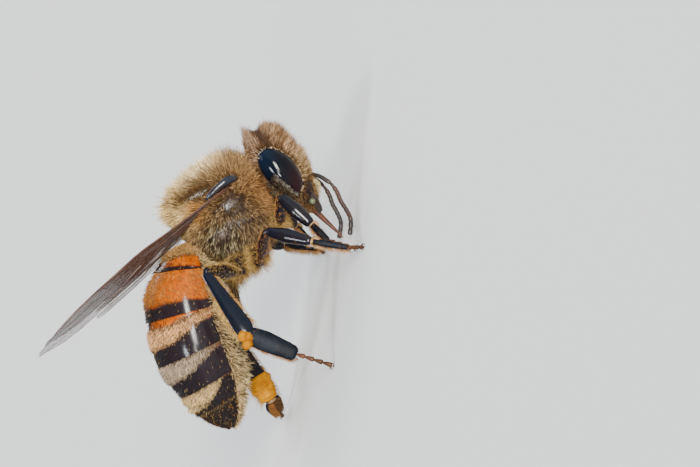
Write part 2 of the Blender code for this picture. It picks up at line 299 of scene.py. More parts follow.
def smooth_curve(stations, steps):
    """A smooth curve through the stations, steps to each stretch."""
    p = np.array(stations, float)
    p = np.vstack([2 * p[0] - p[1], p, 2 * p[-1] - p[-2]])
    rows = []
    for a, b, c, d in zip(p, p[1:], p[2:], p[3:]):
        square, cube = 2 * a - 5 * b + 4 * c - d, 3 * b - a - 3 * c + d
        rows += [0.5 * (2 * b + (c - a) * t + square * t**2 + cube * t**3) for t in np.arange(steps) / steps]
    return np.array(rows + [p[-2]])


def drawn_tube(stations, sides=16):
    """Extrude a disc up Z. A station is (height, half x, half y), then its offsets in x and y if any."""
    stations = [(*station, 0, 0)[:5] for station in stations]
    piece = new_piece(bpy.ops.mesh.primitive_circle_add, vertices=sides, radius=1, fill_type="NGON")
    bpy.ops.object.mode_set(mode="EDIT")
    bpy.ops.mesh.select_all(action="SELECT")
    height, half_x, half_y, x, y = stations[0]
    bpy.ops.transform.resize(value=(half_x, half_y, 1), center_override=(0, 0, 0))
    bpy.ops.transform.translate(value=(x, y, height))
    for before, after in zip(stations, stations[1:]):
        step = (after[3] - before[3], after[4] - before[4], after[0] - before[0])
        bpy.ops.mesh.extrude_region_move(TRANSFORM_OT_translate={"value": step})
        bpy.ops.transform.resize(value=(after[1] / before[1], after[2] / before[2], 1),
                                 center_override=(after[3], after[4], after[0]))
    bpy.ops.object.mode_set(mode="OBJECT")
    return settled(faces_out(piece))


def round_body(segments, rings):
    sphere = bpy.ops.mesh.primitive_uv_sphere_add
    return settled(new_piece(sphere, segments=segments, ring_count=rings, radius=1))


def bent_along(piece, path):
    """Bend a piece drawn about Z along a path. Height 0 is the path's start and height 1 its end."""
    x, y, height = points_of(piece.data).T[:, :, None]
    ticks, length = np.linspace(0, 1, len(path)), np.linalg.norm(np.diff(path, axis=0), axis=1).sum()
    along = unit(np.gradient(path, axis=0))
    across = unit(np.cross(along, SIDE))
    through = unit(np.cross(along, across))

    def at_height(rows):
        return np.stack([np.interp(height[:, 0], ticks, rows[:, i]) for i in range(3)], axis=1)

    over = np.clip(height - 1, 0, None) * along[-1] * length
    under = np.clip(height, None, 0) * along[0] * length
    wide, deep = unit(at_height(across)), unit(at_height(through))
    set_points(piece, at_height(path) + over + under + x * wide + y * deep)
    return faces_out(piece)


print("bench tools ready")

# %% [markdown]
# ## Material tools
# `Value` wraps a socket, so that shader maths reads as plain expressions. `Finish` holds one material: its
# `node` method adds any node, with its settings first and then the values or links of its sockets.


# %% Shader maths
class Value:
    """A number or a colour that a socket gives."""

    def __init__(self, finish, socket):
        self.finish, self.socket = finish, socket

    def math(self, operation, first, second):
        return self.finish.node("ShaderNodeMath", {"operation": operation}, [first, second])

    def __add__(self, other):
        return self.math("ADD", self, other)

    def __sub__(self, other):
        return self.math("SUBTRACT", self, other)

    def __rsub__(self, other):
        return self.math("SUBTRACT", other, self)

    def __mul__(self, other):
        return self.math("MULTIPLY", self, other)

    __radd__, __rmul__ = __add__, __mul__

    def highest(self, other):
        return self.math("MAXIMUM", self, other)

    def ramp(self, low, high):
        """0 below low, 1 above high, and smooth between."""
        inputs = {"Value": self, "From Min": low, "From Max": high}
        return self.finish.node("ShaderNodeMapRange", {"interpolation_type": "SMOOTHSTEP"}, inputs)

    def between(self, low, high, soft):
        """1 between low and high, and 0 beyond them."""
        return self.ramp(low - soft, low + soft) * (1 - self.ramp(high - soft, high + soft))


# %% One finish
class Finish:
    """One material and its nodes."""

    def __init__(self, name, gloss=0.5):
        self.material = bpy.data.materials.new(name)
        self.material.use_nodes = True
        self.tree = self.material.node_tree
        self.surface = self.tree.nodes["Principled BSDF"]
        self.surface.inputs["Roughness"].default_value = 0.4
        self.surface.inputs["Specular IOR Level"].default_value = gloss

    def plug(self, value, socket):
        if isinstance(value, Value):
            self.tree.links.new(value.socket, socket)
        elif isinstance(value, (tuple, list)) and len(value) == 3 and socket.type == "RGBA":
            socket.default_value = (*value, 1)
        else:
            socket.default_value = value

    def node(self, kind, settings=None, inputs=None, output=0):
        made = self.tree.nodes.new(kind)
        for key, value in (settings or {}).items():
            setattr(made, key, value)
        pairs = inputs.items() if isinstance(inputs, dict) else enumerate(inputs or [])
        for key, value in pairs:
            self.plug(value, made.inputs[key])
        return Value(self, made.outputs[output])

    def place(self):
        return self.node("ShaderNodeTexCoord", output="Object")

    def noise(self, scale, detail=3.0, roughness=0.55):
        """Clouds. Scale counts them to the millimetre."""
        inputs = {"Scale": scale / MM, "Detail": detail, "Roughness": roughness, "Vector": self.place()}
        return self.node("ShaderNodeTexNoise", {}, inputs)

    def cells(self, scale):
        """Round cells. Scale counts them to the millimetre."""
        inputs = {"Scale": scale / MM, "Vector": self.place()}
        return self.node("ShaderNodeTexVoronoi", {"feature": "F1"}, inputs)

    def along(self, origin, axis):
        """Distance in millimetres from a bench point along an axis."""
        start = tuple(float(v) for v in (origin + BENCH) * MM)
        moved = self.node("ShaderNodeVectorMath", {"operation": "SUBTRACT"}, [self.place(), start])
        scaled = tuple(float(v) for v in axis / MM)
        product = {"operation": "DOT_PRODUCT"}
        return self.node("ShaderNodeVectorMath", product, [moved, scaled], output="Value")

    def mix(self, factor, first, second):
        inputs = {0: factor, 6: first, 7: second}
        return self.node("ShaderNodeMix", {"data_type": "RGBA"}, inputs, output=2)

    def attribute(self, name, output):
        return self.node("ShaderNodeAttribute", {"attribute_name": name}, output=output)

    def bump(self, height, distance, strength):
        """Distance in millimetres."""
        inputs = {"Height": height, "Distance": distance * MM, "Strength": strength}
        return self.node("ShaderNodeBump", {}, inputs)

    def wear(self, **looks):
        for key, value in looks.items():
            self.plug(value, self.surface.inputs[key.replace("_", " ")])
        return self.material


print("material tools ready")

# %% [markdown]
# ## Finishes
# Insect shell is a hard glossy skin with fine pits and short wrinkles. It is black on the head, thorax and
# legs, and amber banded with black on the abdomen. Hairs carry their colour on their points, from root to
# tip, so that one finish serves every coat.

# %% Shell finishes
def shell(name, colour, warm, roughness, pits, gloss=0.28, texture=0.4):
    """Pits is how many pits lie on a millimetre, and texture is how deep they look."""
    finish = Finish(name, gloss)
    cloud = finish.noise(1.6).ramp(0.35, 0.7)
    fine = finish.noise(9, detail=5)
    height = finish.cells(pits).ramp(0.0, 0.5) * 0.6 + fine * 0.5
    return finish.wear(Base_Color=finish.mix(cloud, colour, warm),
                       Roughness=fine * 0.14 + (roughness - 0.05),
                       Normal=finish.bump(height, distance=0.004, strength=texture))


# Colour, warmer colour, roughness, pits, and gloss and texture where they aren't the usual ones.
THORAX_SHELL = shell("thorax shell", (0.020, 0.015, 0.013), (0.05, 0.032, 0.022), 0.36, 22, 0.4)
HEAD_SHELL = shell("head shell", (0.006, 0.005, 0.005), (0.016, 0.009, 0.006), 0.4, 26, 0.1)
LEG_SHELL = shell("leg shell", (0.002, 0.002, 0.005), (0.004, 0.003, 0.004), 0.18, 18, 0.22, 0.12)
HIND_SHELL = shell("hind leg shell", (0.002, 0.003, 0.007), (0.003, 0.004, 0.007), 0.16, 16, 0.14, 0.15)
BRUSH_SHELL = shell("brush joint shell", (0.001, 0.002, 0.004), (0.004, 0.006, 0.010), 0.45, 14, 0.06, 0.8)
JOINT_SHELL = shell("small joint shell", (0.030, 0.012, 0.006), (0.075, 0.026, 0.008), 0.32, 18, 0.15)
FEELER_SHELL = shell("feeler shell", (0.014, 0.010, 0.009), (0.040, 0.018, 0.010), 0.4, 30)
MOUTH_SHELL = shell("mouth shell", (0.018, 0.009, 0.005), (0.008, 0.006, 0.005), 0.22, 14, 0.4)
CAP_SHELL = shell("shoulder cap shell", (0.004, 0.005, 0.010), (0.010, 0.008, 0.010), 0.2, 12, 0.35, 1.0)
# The jaw joint beads are pale greenish: a painted glint on the base of each jaw.
GLINT_SHELL = shell("jaw joint painted glint shell", (0.11, 0.11, 0.045), (0.02, 0.03, 0.02), 0.2, 16, 0.5)
CREAM_SHELL = shell("cream joint skin", (0.22, 0.125, 0.048), (0.12, 0.06, 0.02), 0.45, 20)
print("shell finishes:", len(bpy.data.materials))

# %% Abdomen, tongue and eye finishes
# Where each ring turns black, counted in rings from the waist. A ring's rear edge ends its black band.
BLACK_STARTS = (0.92, 1.73, 2.60, 3.52, 4.68, 5.02)
# How far back from there the black starts on the flank, where less than 0 is forward, and the turns where
# that begins and is full. The coat's felt follows it on every ring, and the shell on the third to the fifth.
FLANK_SHIFT = ((0.05, 1.45, 2.0), (0.05, 1.45, 2.0), (-0.40, 0.75, 2.1), (-0.46, 0.75, 2.1),
               (-0.74, 0.95, 1.85), (0, 1, 2))


def abdomen_shell():
    """Rings are told apart by the attributes ring and turn, the angle from the top."""
    finish = Finish("abdomen shell", gloss=0.13)
    ring, turn = finish.attribute("ring", "Fac"), finish.attribute("turn", "Fac")
    wavy, ragged = finish.noise(0.9, detail=2) - 0.5, finish.noise(8, detail=3) - 0.5
    edge = ring + wavy * 0.16 + ragged * 0.10
    flank = turn.ramp(1.45, 2.0)
    for number in (3, 4, 5):
        shift, begins, full = FLANK_SHIFT[number - 1]
        this_ring = ring.between(number - 0.95, number + 0.05, soft=0.05)
        edge = edge + this_ring * turn.ramp(begins, full) * -shift
    edge = edge - flank * 0.06
    black = flank * 0.0  # none yet
    for number, start in enumerate(BLACK_STARTS, 1):
        band = edge.ramp(start - 0.06, start + 0.06) * (1 - ring.ramp(number + 0.03, number + 0.04))
        black = black.highest(band)
    mottle = finish.noise(3.2, detail=5, roughness=0.65).ramp(0.3, 0.75)
    amber = finish.mix(mottle, (0.33, 0.068, 0.0003), (0.18, 0.028, 0.0003))
    # Near the top of the abdomen the amber darkens to brown: painted shade from the hair over it.
    amber = finish.mix(turn.ramp(0.35, 1.05), (0.20, 0.042, 0.002), amber)
    buff = finish.mix(mottle, (0.18, 0.10, 0.05), (0.07, 0.036, 0.020))
    belly = finish.mix(mottle, (0.07, 0.028, 0.010), (0.025, 0.012, 0.007))
    base = finish.mix((edge + flank * -0.45).ramp(2.12, 2.32), amber, buff)
    base = finish.mix(turn.ramp(2.05, 2.3), base, belly)
    rust = finish.mix(mottle, (0.20, 0.045, 0.006), (0.08, 0.020, 0.005))
    base = finish.mix(flank * ring.ramp(2.3, 2.5) * 0.8, base, rust)
    fine = finish.noise(14, detail=4)
    return finish.wear(Base_Color=finish.mix(black * 0.99, base, (0.008, 0.006, 0.008)),
                       Roughness=fine * 0.10 + 0.11,
                       Normal=finish.bump(fine * 0.5 + finish.cells(20) * 0.3, distance=0.003, strength=0.3))


def eye_finish():
    finish = Finish("eye lens", gloss=0.12)
    facets = finish.cells(34)
    low = finish.along(HEAD, MOUTHWARD * 0.8 + FACE * 0.6)
    # Toward the crown and the back of the head the black turns blue: a painted sky reflection.
    black_and_painted_sky = finish.mix(low.ramp(-1.0, 0.0), (0.002, 0.005, 0.012), (0.0015, 0.0016, 0.003))
    return finish.wear(Base_Color=finish.mix(low.ramp(0.0, 0.9) * 0.9, black_and_painted_sky, (0.010, 0.0025, 0.0025)),
                       Roughness=finish.noise(5) * 0.05 + 0.07,
                       Normal=finish.bump(facets.ramp(0.0, 0.6), distance=0.002, strength=0.2))


def tongue_finish():
    finish = Finish("tongue shell", gloss=0.4)
    stain = finish.noise(2.5, detail=4).ramp(0.35, 0.65)
    rings = finish.noise(12, detail=3)
    return finish.wear(Base_Color=finish.mix(stain, (0.07, 0.018, 0.005), (0.020, 0.008, 0.005)),
                       Roughness=rings * 0.2 + 0.2, Normal=finish.bump(rings, distance=0.006, strength=0.4))


ABDOMEN_SHELL = abdomen_shell()
EYE_LENS = eye_finish()
TONGUE_SHELL = tongue_finish()
print("finishes so far:", len(bpy.data.materials))


# %% Hair, pollen and wing finishes
def hair_finish():
    """Hair takes its colour from its own points."""
    finish = Finish("hair", gloss=0.08)
    colour = finish.attribute("coat", "Color")
    return finish.wear(Base_Color=colour, Roughness=finish.noise(6) * 0.2 + 0.55)


def pollen_finish():
    finish = Finish("pollen", gloss=0.05)
    clump = finish.noise(2.2, detail=4).ramp(0.3, 0.7)
    grain = finish.cells(18)
    return finish.wear(Base_Color=finish.mix(clump, (0.36, 0.145, 0.0003), (0.21, 0.068, 0.0003)),
                       Roughness=grain * 0.3 + 0.6, Normal=finish.bump(grain, distance=0.02, strength=0.6))


def wing_membrane(name, light, dark, clearness):
    finish = Finish(name, gloss=0.12)
    smoke = finish.noise(0.7, detail=3).ramp(0.3, 0.75)
    crease = finish.noise(3.5, detail=4)
    return finish.wear(Base_Color=finish.mix(smoke, light, dark),
                       Roughness=crease * 0.15 + 0.2, Alpha=smoke * 0.14 + clearness,
                       Normal=finish.bump(crease, distance=0.03, strength=0.5))


def vein_finish():
    finish = Finish("wing vein")
    stain = finish.noise(1.2, detail=3).ramp(0.3, 0.7)
    return finish.wear(Base_Color=finish.mix(stain, (0.055, 0.020, 0.010), (0.022, 0.009, 0.006)),
                       Roughness=stain * 0.15 + 0.3)


HAIR = hair_finish()
POLLEN = pollen_finish()
MEMBRANE = wing_membrane("wing membrane", (0.056, 0.026, 0.014), (0.034, 0.014, 0.011), 0.60)
HIND_MEMBRANE = wing_membrane("hindwing membrane", (0.085, 0.058, 0.024), (0.045, 0.030, 0.014), 0.46)
VEIN = vein_finish()
print("finishes:", len(bpy.data.materials))

# %% [markdown]
# ## Growing a coat
# A hair is a thin three-sided spike that bends, built straight from arrays, because a coat needs tens of
# thousands. Its root is a random point of the skin. Its length comes from the solid round the skin: a ray
# from the root meets the solid where the coat ends. Neighbours lean together at the tip, as real hair does,
# which gives the coat its locks. Each hair keeps a small patch of the map `OFBake` at its root's place on
# an unwrap of the skin.


# %% Roots, reach and locks
def surface_of(node):
    """A solid as a tree for rays, in bench millimetres."""
    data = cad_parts[node].data
    points = points_of(data) / MM - BENCH
    return BVHTree.FromPolygons([Vector(p) for p in points], [tuple(f.vertices) for f in data.polygons])


def scattered(piece, count, seed, weight=None, values=()):
    """Random roots on a bench piece, with the normal and the named point values at each."""
    rng = np.random.default_rng(seed)
    data = piece.data
    data.calc_loop_triangles()
    corners = np.empty(len(data.loop_triangles) * 3, np.int32)
    data.loop_triangles.foreach_get("vertices", corners)
    points = points_of(data)
    flat = np.empty(len(points) * 3)
    data.vertices.foreach_get("normal", flat)
    corners, normals = corners.reshape(-1, 3), flat.reshape(-1, 3)
    fields = [np.array([item.value for item in data.attributes[name].data]) for name in values]
    a, b, c = (points[corners[:, i]] for i in range(3))
    share = np.linalg.norm(np.cross(b - a, c - a), axis=1)
    if weight is not None:
        share = share * weight((a + b + c) / 3, *[field[corners].mean(axis=1) for field in fields])
    picked = rng.choice(len(corners), count, p=share / share.sum())
    u, v = rng.random((2, count))
    flip = u + v > 1
    u[flip], v[flip] = 1 - u[flip], 1 - v[flip]
    w = np.stack([1 - u - v, u, v], axis=1)
    spot = corners[picked]
    found = [(field[spot] * w).sum(axis=1) for field in fields]
    w = w[:, :, None]
    return (points[spot] * w).sum(axis=1), unit((normals[spot] * w).sum(axis=1)), rng, *found


def room(tree, roots, ways, most):
    """How far each hair can reach before it leaves the solid."""
    reach = np.full(len(roots), most)
    for i, (root, way) in enumerate(zip(roots, ways)):
        hit = tree.ray_cast(Vector(root), Vector(way), most)
        if hit[0] is not None:
            reach[i] = hit[3]
    return reach


def locks(roots, ways, lengths, rng, each, pull):
    """Bends that draw the tips of neighbours together, and a shade shared by each lock."""
    leaders = rng.choice(len(roots), len(roots) // each, replace=False)
    tree = KDTree(len(leaders))
    for i, leader in enumerate(leaders):
        tree.insert(Vector(roots[leader]), i)
    tree.balance()
    lock = np.array([tree.find(Vector(root))[1] for root in roots])
    owner = leaders[lock]
    goal = roots[owner] + ways[owner] * lengths[owner][:, None]
    own = roots + ways * lengths[:, None]
    return pull * (goal - own) / lengths[:, None], rng.normal(size=len(leaders)).clip(-2, 2)[lock]


# %% Hairs from arrays
PATCH = 0.003  # half of a hair's patch on the map
THIRD_TURN = 2.0944
COAT_PIECES = []


def grow(name, roots, ways, lengths, bends, root_colour, tip_colour, places, width, rings=2, fade=1.0,
         slot="hair"):
    """One piece of many hairs.

    Ways are unit vectors, bends are added with the square of the share along, and places are on the map.
    The tip's colour reaches further down a hair where fade is small.
    """
    count = len(roots)
    u_axis = unit(np.cross(ways, SIDE + 0.37 * THORAX_UP))
    v_axis = unit(np.cross(ways, u_axis))
    rows, shares = [], []
    for t in np.arange(rings) / rings:
        middle = roots + lengths[:, None] * (t * ways + t * t * bends)
        half = width / 2 * (1 - 0.8 * t**1.3)
        for turn in (0, THIRD_TURN, 2 * THIRD_TURN):
            rows.append(middle + half * (math.cos(turn) * u_axis + math.sin(turn) * v_axis))
            shares.append(t)
    rows.append(roots + lengths[:, None] * (ways + bends))
    shares.append(1.0)
    each = len(rows)
    points = np.stack(rows, axis=1).reshape(-1, 3)
    quads = [(3 * r + i, 3 * r + (i + 1) % 3, 3 * r + 3 + (i + 1) % 3, 3 * r + 3 + i)
             for r in range(rings - 1) for i in range(3)]
    last = 3 * (rings - 1)
    triangles = [(last + i, last + (i + 1) % 3, each - 1) for i in range(3)]
    loops = np.array([v for face in quads + triangles for v in face])
    totals = np.array([4] * len(quads) + [3] * len(triangles))
    starts = np.arange(count)[:, None] * len(loops) + np.concatenate([[0], np.cumsum(totals)[:-1]])
    corner_points = (np.arange(count)[:, None] * each + loops).ravel()
    data = bpy.data.meshes.new(name)
    data.vertices.add(count * each)
    data.vertices.foreach_set("co", points.ravel())
    data.loops.add(count * len(loops))
    data.loops.foreach_set("vertex_index", corner_points)
    data.polygons.add(count * len(totals))
    data.polygons.foreach_set("loop_start", starts.ravel())
    data.update(calc_edges=True)
    shares = np.array(shares)
    # Roots are darker than tips in every coat: partly the hairs' own colour, partly painted shade deep in
    # the coat.
    blend = (shares**fade)[None, :, None]
    colour = root_colour[:, None, :] * (1 - blend) + tip_colour[:, None, :] * blend
    colour = np.concatenate([colour, np.ones((count, each, 1))], axis=2)
    data.color_attributes.new("coat", "FLOAT_COLOR", "POINT").data.foreach_set("color", colour.ravel())
    ring_side = np.array([(0, 0.5, 1)[k % 3] for k in range(each - 1)] + [0.5])
    local = np.stack([ring_side - 0.5, shares - 0.5], axis=1) * PATCH
    spread = np.clip(places, 0, 1)[:, None, :] * (1 - 2 * PATCH) + PATCH + local[None]
    data.uv_layers.new(name="OFBake").data.foreach_set("uv", spread.reshape(-1, 2)[corner_points].ravel())
    data.shade_smooth()
    triangle_count = count * (len(quads) * 2 + len(triangles))
    COAT_PIECES.append(triangle_count)
    print(f"{name}: {count} hairs, {triangle_count} triangles")
    keep(add_object(name, data), name, HAIR, slot)


def round_unwrap(centre, pole, front):
    """Longitude and latitude about a centre, both from 0 to 1."""
    pole, front = unit(pole), unit(front)
    beside = np.cross(pole, front)

    def unwrap(points):
        away = unit(points - centre)
        u = np.arctan2(away @ beside, away @ front) / (2 * math.pi) + 0.5
        return np.stack([u, np.arccos(np.clip(away @ pole, -1, 1)) / math.pi], axis=1)

    return unwrap


# %% Colours and places for hairs
def tone(colour, rng, count, spread=0.45):
    """One colour for many hairs, each a little lighter or darker."""
    return np.array(colour)[None, :] * np.clip(1 + spread * rng.normal(size=count), 0.12, 2.4)[:, None]


def flecked(colours, rng, share, dark):
    """Some hairs of a coat turned dark, so that the pale ones stand out."""
    return mixed(0.9 * (rng.random(len(colours)) < share), colours, tone(dark, rng, len(colours)))


def mixed(amount, first, second):
    return first * (1 - amount)[:, None] + second * amount[:, None]


def ramp(values, low, high):
    t = np.clip((values - low) / (high - low), 0, 1)
    return t * t * (3 - 2 * t)


def near(points, spots, size):
    """1 at the spots, falling to 0 at about twice the size away."""
    return sum(np.exp(-((points - np.array(spot)) ** 2).sum(axis=1) / size**2) for spot in spots).clip(0, 1)


def by_side(side):
    """Factors that send left-hand places to the side, -1 or 1, of each hair."""
    return np.stack([side**2, side, side**2], axis=1)


print("coat tools ready")

# %% [markdown]
# ## Thorax
# The thorax is a ball a little longer than it is high, with a swollen shield at its upper rear. Its coat is
# the longest on the bee, about a millimetre on the back. On the flanks it is short and thin, and bare spots
# of the shell glint there. A sphere is pushed out by a formula for the shell.

# %% Thorax shell
THORAX_HALF = (1.80, 1.72, 1.76)  # along, sideways, up
THORAX_AXES = np.array([THORAX_FORWARD, SIDE, THORAX_UP])
THORAX_MAP = round_unwrap(THORAX, SIDE, THORAX_FORWARD)


def thorax_skin():
    piece = round_body(72, 44)
    away = unit(points_of(piece.data))
    swell = 0.16 * np.exp(-((away - unit([-0.55, 0, 0.83])) ** 2).sum(axis=1) / 0.10)
    groove = 0.05 * np.exp(-((away - unit([-0.28, 0, 0.96])) ** 2).sum(axis=1) / 0.012)
    ahead, beside, up = away.T
    flank = np.abs(beside) ** 2 * (up < 0.35)
    side_plate = 0.05 * np.sin(5.2 * ahead + 1.0) * flank + 0.03 * np.sin(9 * up + 4 * ahead) * flank
    local = away * (1 + swell - groove + side_plate)[:, None] * np.array(THORAX_HALF)
    set_points(piece, local @ THORAX_AXES + THORAX)
    return shaded(faces_out(piece))


thorax_shell = thorax_skin()
print("thorax shell:", len(thorax_shell.data.polygons), "faces")

# %% Thorax coat
BUFF, FAWN = (0.46, 0.285, 0.12), (0.27, 0.165, 0.075)
RUSSET, UMBER, SOOT = (0.24, 0.095, 0.024), (0.075, 0.036, 0.012), (0.020, 0.012, 0.008)
WHEAT, STRAW_WHITE, HONEY = (0.94, 0.72, 0.38), (0.56, 0.47, 0.26), (0.88, 0.60, 0.24)
# Bare spots on the flanks: forward and up from the middle of the thorax, and size.
BARE_SPOTS = ((0.32, 0.24, 0.24), (-0.92, -0.28, 0.30), (-1.30, -1.10, 0.20), (0.1, -0.5, 0.12))
# The next places are directions from the middle of the thorax, on the left, and on the right by mirroring:
# the bare dark strip along the shield, the flank where pale hairs stand over black, and an amber tuft.
SHIELD_EDGE = [(-0.45 + 0.11 * i, side * (0.26 + 0.10 * i), 0.88 - 0.045 * i)
               for i in range(1, 6) for side in (-1, 1)]
FRECKLED = [(x, side * y, z) for x, y, z in ((-0.47, 0.88, -0.02), (-0.45, 0.80, -0.40), (-0.68, 0.66, -0.2))
            for side in (-1, 1)]
AMBER_TUFT = [(-0.38, side * 0.78, 0.49) for side in (-1, 1)]


def in_thorax(points):
    """Places in the thorax's own axes, and their directions from its middle."""
    local = (points - THORAX) @ THORAX_AXES.T
    return local, unit(local)


def bare_on_flank(local):
    flank = ramp(np.abs(local[:, 1]), 0.8, 1.2)
    spots = sum(np.exp(-((local[:, 0] - x) ** 2 + (local[:, 2] - z) ** 2) / r**2) for x, z, r in BARE_SPOTS)
    return flank * spots.clip(0, 1)


def thorax_coat(name, count, seed, lowest, highest, rings):
    """Hair for the part of the thorax between two heights of its own up axis, from -1 to 1."""

    def weight(points):
        local, away = in_thorax(points)
        rise = away[:, 2]
        flank = np.abs(away[:, 1]) ** 2 * (1 - ramp(rise, 0.2, 0.6))
        thin = (1 - 0.93 * bare_on_flank(local)) * (1 - 0.6 * near(away, SHIELD_EDGE, 0.14))
        return ((rise >= lowest) & (rise < highest)) * (1 - 0.62 * flank) * thin

    roots, normals, rng = scattered(thorax_shell, count, seed, weight)
    dyed = partial(tone, rng=rng, count=count)
    local, away = in_thorax(roots)
    ahead, rise, flank = local[:, 0], away[:, 2], np.abs(away[:, 1])
    strip, freckled = near(away, SHIELD_EDGE, 0.16), near(away, FRECKLED, 0.30)
    top = ramp(rise, -0.05, 0.6)
    comb = -0.22 * THORAX_FORWARD - 0.30 * (1 - top)[:, None] * THORAX_UP
    ways = unit(normals + comb + rng.normal(size=(count, 3)) * 0.16)
    reach = room(THORAX_TREE, roots, ways, most=1.3) + 0.24 * top * rng.random(count)
    side_length = 0.42 - 0.2 * bare_on_flank(local) + 0.5 * (1 - flank)
    uneven = 0.42 + 0.64 * rng.random(count) ** 0.9
    lengths = np.minimum(reach, side_length + 0.75 * top) * uneven * (1 - 0.68 * strip)
    bends, shade = locks(roots, ways, lengths, rng, each=8, pull=0.38)
    bends = bends + 0.10 * rng.normal(size=(count, 3)) - 0.10 * THORAX_FORWARD

    front = ramp(ahead, 0.3, 1.3)
    deep = mixed(top, dyed(SOOT), dyed(UMBER))
    root = mixed(0.75 * front * (1 - 0.8 * top), deep, dyed(RUSSET) * 0.6)
    low_tip = mixed(rng.random(count) ** 2.2, dyed(FAWN), dyed(BUFF))
    low_tip = mixed(front * 0.8 * (1 - top), low_tip, dyed((0.34, 0.16, 0.045)))
    low_tip = mixed(near(away, AMBER_TUFT, 0.24), low_tip, dyed((0.46, 0.18, 0.03)))
    low_tip = mixed(freckled, low_tip, mixed(rng.random(count) < 0.36, dyed(SOOT), dyed(STRAW_WHITE)))
    low_tip = flecked(low_tip, rng, 0.30, UMBER)
    tip = mixed(ramp(-ahead, -0.6, 1.0), dyed(WHEAT, spread=0.3), dyed(HONEY, spread=0.3))
    tip = flecked(tip, rng, 0.08, UMBER)
    # Tips are palest along the back and browner on its sides: partly the hair's own colour, partly painted
    # rim light on the back and painted shade on the sides.
    brown_and_shaded_side = 0.85 * ramp(flank, 0.34, 0.6) * (1 - ramp(-ahead, 0.2, 1.0))
    back = ramp(rise + 0.28 * ramp(-ahead, 0.2, 1.2), 0.55, 0.9) * (1 - brown_and_shaded_side)
    tip = mixed(np.clip(back + 0.1 * rng.random(count), 0, 1), low_tip, tip) * (1 + 0.40 * shade)[:, None]
    tip = mixed(0.95 * strip, tip, dyed(SOOT))
    places = THORAX_MAP(roots)
    grow(name, roots, ways, lengths, bends, root, tip, places, width=0.026, rings=rings, fade=2.5)


# %% Shield comb
def shield_comb(name, each, seed):
    """A comb of stiff white hairs along each side of the shield, above the wing root."""
    rng = np.random.default_rng(seed)
    count = 2 * each
    share, side = rng.random(count), np.repeat((-1, 1), each)
    start, end = np.array((-0.36, 0.28, 0.89)), np.array((0.12, 0.72, 0.68))
    away = unit(start + share[:, None] * (end - start)) * by_side(side)
    roots = (away * THORAX_HALF * 1.03) @ THORAX_AXES + THORAX
    comb = 0.6 * side[:, None] * SIDE - 0.1 * THORAX_UP - THORAX_FORWARD
    ways = unit(comb + 0.16 * rng.normal(size=(count, 3)))
    lengths = rng.uniform(0.28, 0.5, count)
    tip = tone((0.80, 0.74, 0.62), rng, count)
    grow(name, roots, ways, lengths, 0 * roots, tip * 0.1, tip, THORAX_MAP(roots), width=0.016)


THORAX_TREE = surface_of("thorax")
shield_comb("shield_comb", 24, 14)
thorax_coat("thorax_coat_back", 11500, 11, 0.45, 1.01, 3)
thorax_coat("thorax_coat_shoulders", 11500, 12, 0.0, 0.45, 3)
thorax_coat("thorax_coat_underside", 15000, 13, -1.01, 0.0, 2)
keep(thorax_shell, "thorax_shell", THORAX_SHELL, "hair", "thorax")

# %% [markdown]
# ## Head
# The head is a flattened wedge, widest across the eyes and narrowing to the mouth. It is drawn as a tube
# from the crown to the mouth, with its flat side as the face, and smoothed. The compound eyes are long
# black ovals at its sides, sunk by half, with a pale rim of short hairs, and three simple eyes sit on the
# crown. The face plate above the lip is nearly bare, and the feelers stand in two sockets over it.

# %% Head shell and eyes
# Distance toward the mouth, half width, front of the face, back of the head.
HEAD_STATIONS = ((-1.56, 0.3, 0.45, 0.1), (-1.38, 0.78, 0.7, -0.1), (-1.05, 1.15, 0.86, -0.36),
                 (-0.55, 1.42, 0.97, -0.58), (0, 1.5, 1.0, -0.66), (0.5, 1.42, 0.98, -0.64),
                 (0.95, 1.2, 0.94, -0.55), (1.35, 0.95, 0.82, -0.4), (1.7, 0.72, 0.6, -0.2),
                 (1.95, 0.42, 0.34, 0))
HEAD_AXES = np.array([FACE, SIDE, MOUTHWARD])
HEAD_MAP = round_unwrap(HEAD, SIDE, FACE)
EYE_MIDDLE = np.array((0.05, 1.35, -0.02))
EYE_HALF = np.array((0.62, 0.545, 1.12))


def in_head(points):
    """Ahead of the middle of the head, to its left, and toward the mouth."""
    return ((points - HEAD) @ HEAD_AXES.T).T


def on_head(local):
    return local @ HEAD_AXES + HEAD


def laid_on_head(piece):
    """Move a piece drawn about Z so that it runs toward the mouth."""
    set_points(piece, on_head(points_of(piece.data)))
    return faces_out(piece)


def head_skin():
    rows = smooth_curve(HEAD_STATIONS, 2)
    stations = [(down, (front - back) / 2, half, (front + back) / 2) for down, half, front, back in rows]
    return shaded(laid_on_head(smoothed(drawn_tube(stations, 24))))


def face_plate():
    piece = round_body(32, 20)
    x, y, z = points_of(piece.data).T
    y = y * (1 - 0.22 * z)
    set_points(piece, on_head(np.stack([0.56 + 0.46 * x, 0.56 * y, 1.28 + 0.42 * z], axis=1)))
    return shaded(faces_out(piece))


def eye_surface(away):
    return away * EYE_HALF * (1 - 0.08 * away[:, 0] * np.abs(away[:, 2]) ** 2)[:, None]


def compound_eye(side):
    piece = round_body(64, 40)
    away = unit(points_of(piece.data))
    set_points(piece, on_head(eye_surface(away) + EYE_MIDDLE * (1, side, 1)))
    return shaded(faces_out(piece))


def beads(spots, radius):
    """Small round domes joined into one piece."""
    pieces = []
    for spot in spots:
        piece = round_body(16, 10)
        set_points(piece, points_of(piece.data) * radius + HEAD + np.array(spot) @ HEAD_AXES)
        pieces.append(piece)
    return shaded(joined(pieces))


SIMPLE_EYES = ((0.66, 0, -1.28), (0.46, 0.25, -1.42), (0.46, -0.25, -1.42))
FEELER_SOCKETS = ((0.92, 0.36, 0.86), (0.92, -0.36, 0.86))


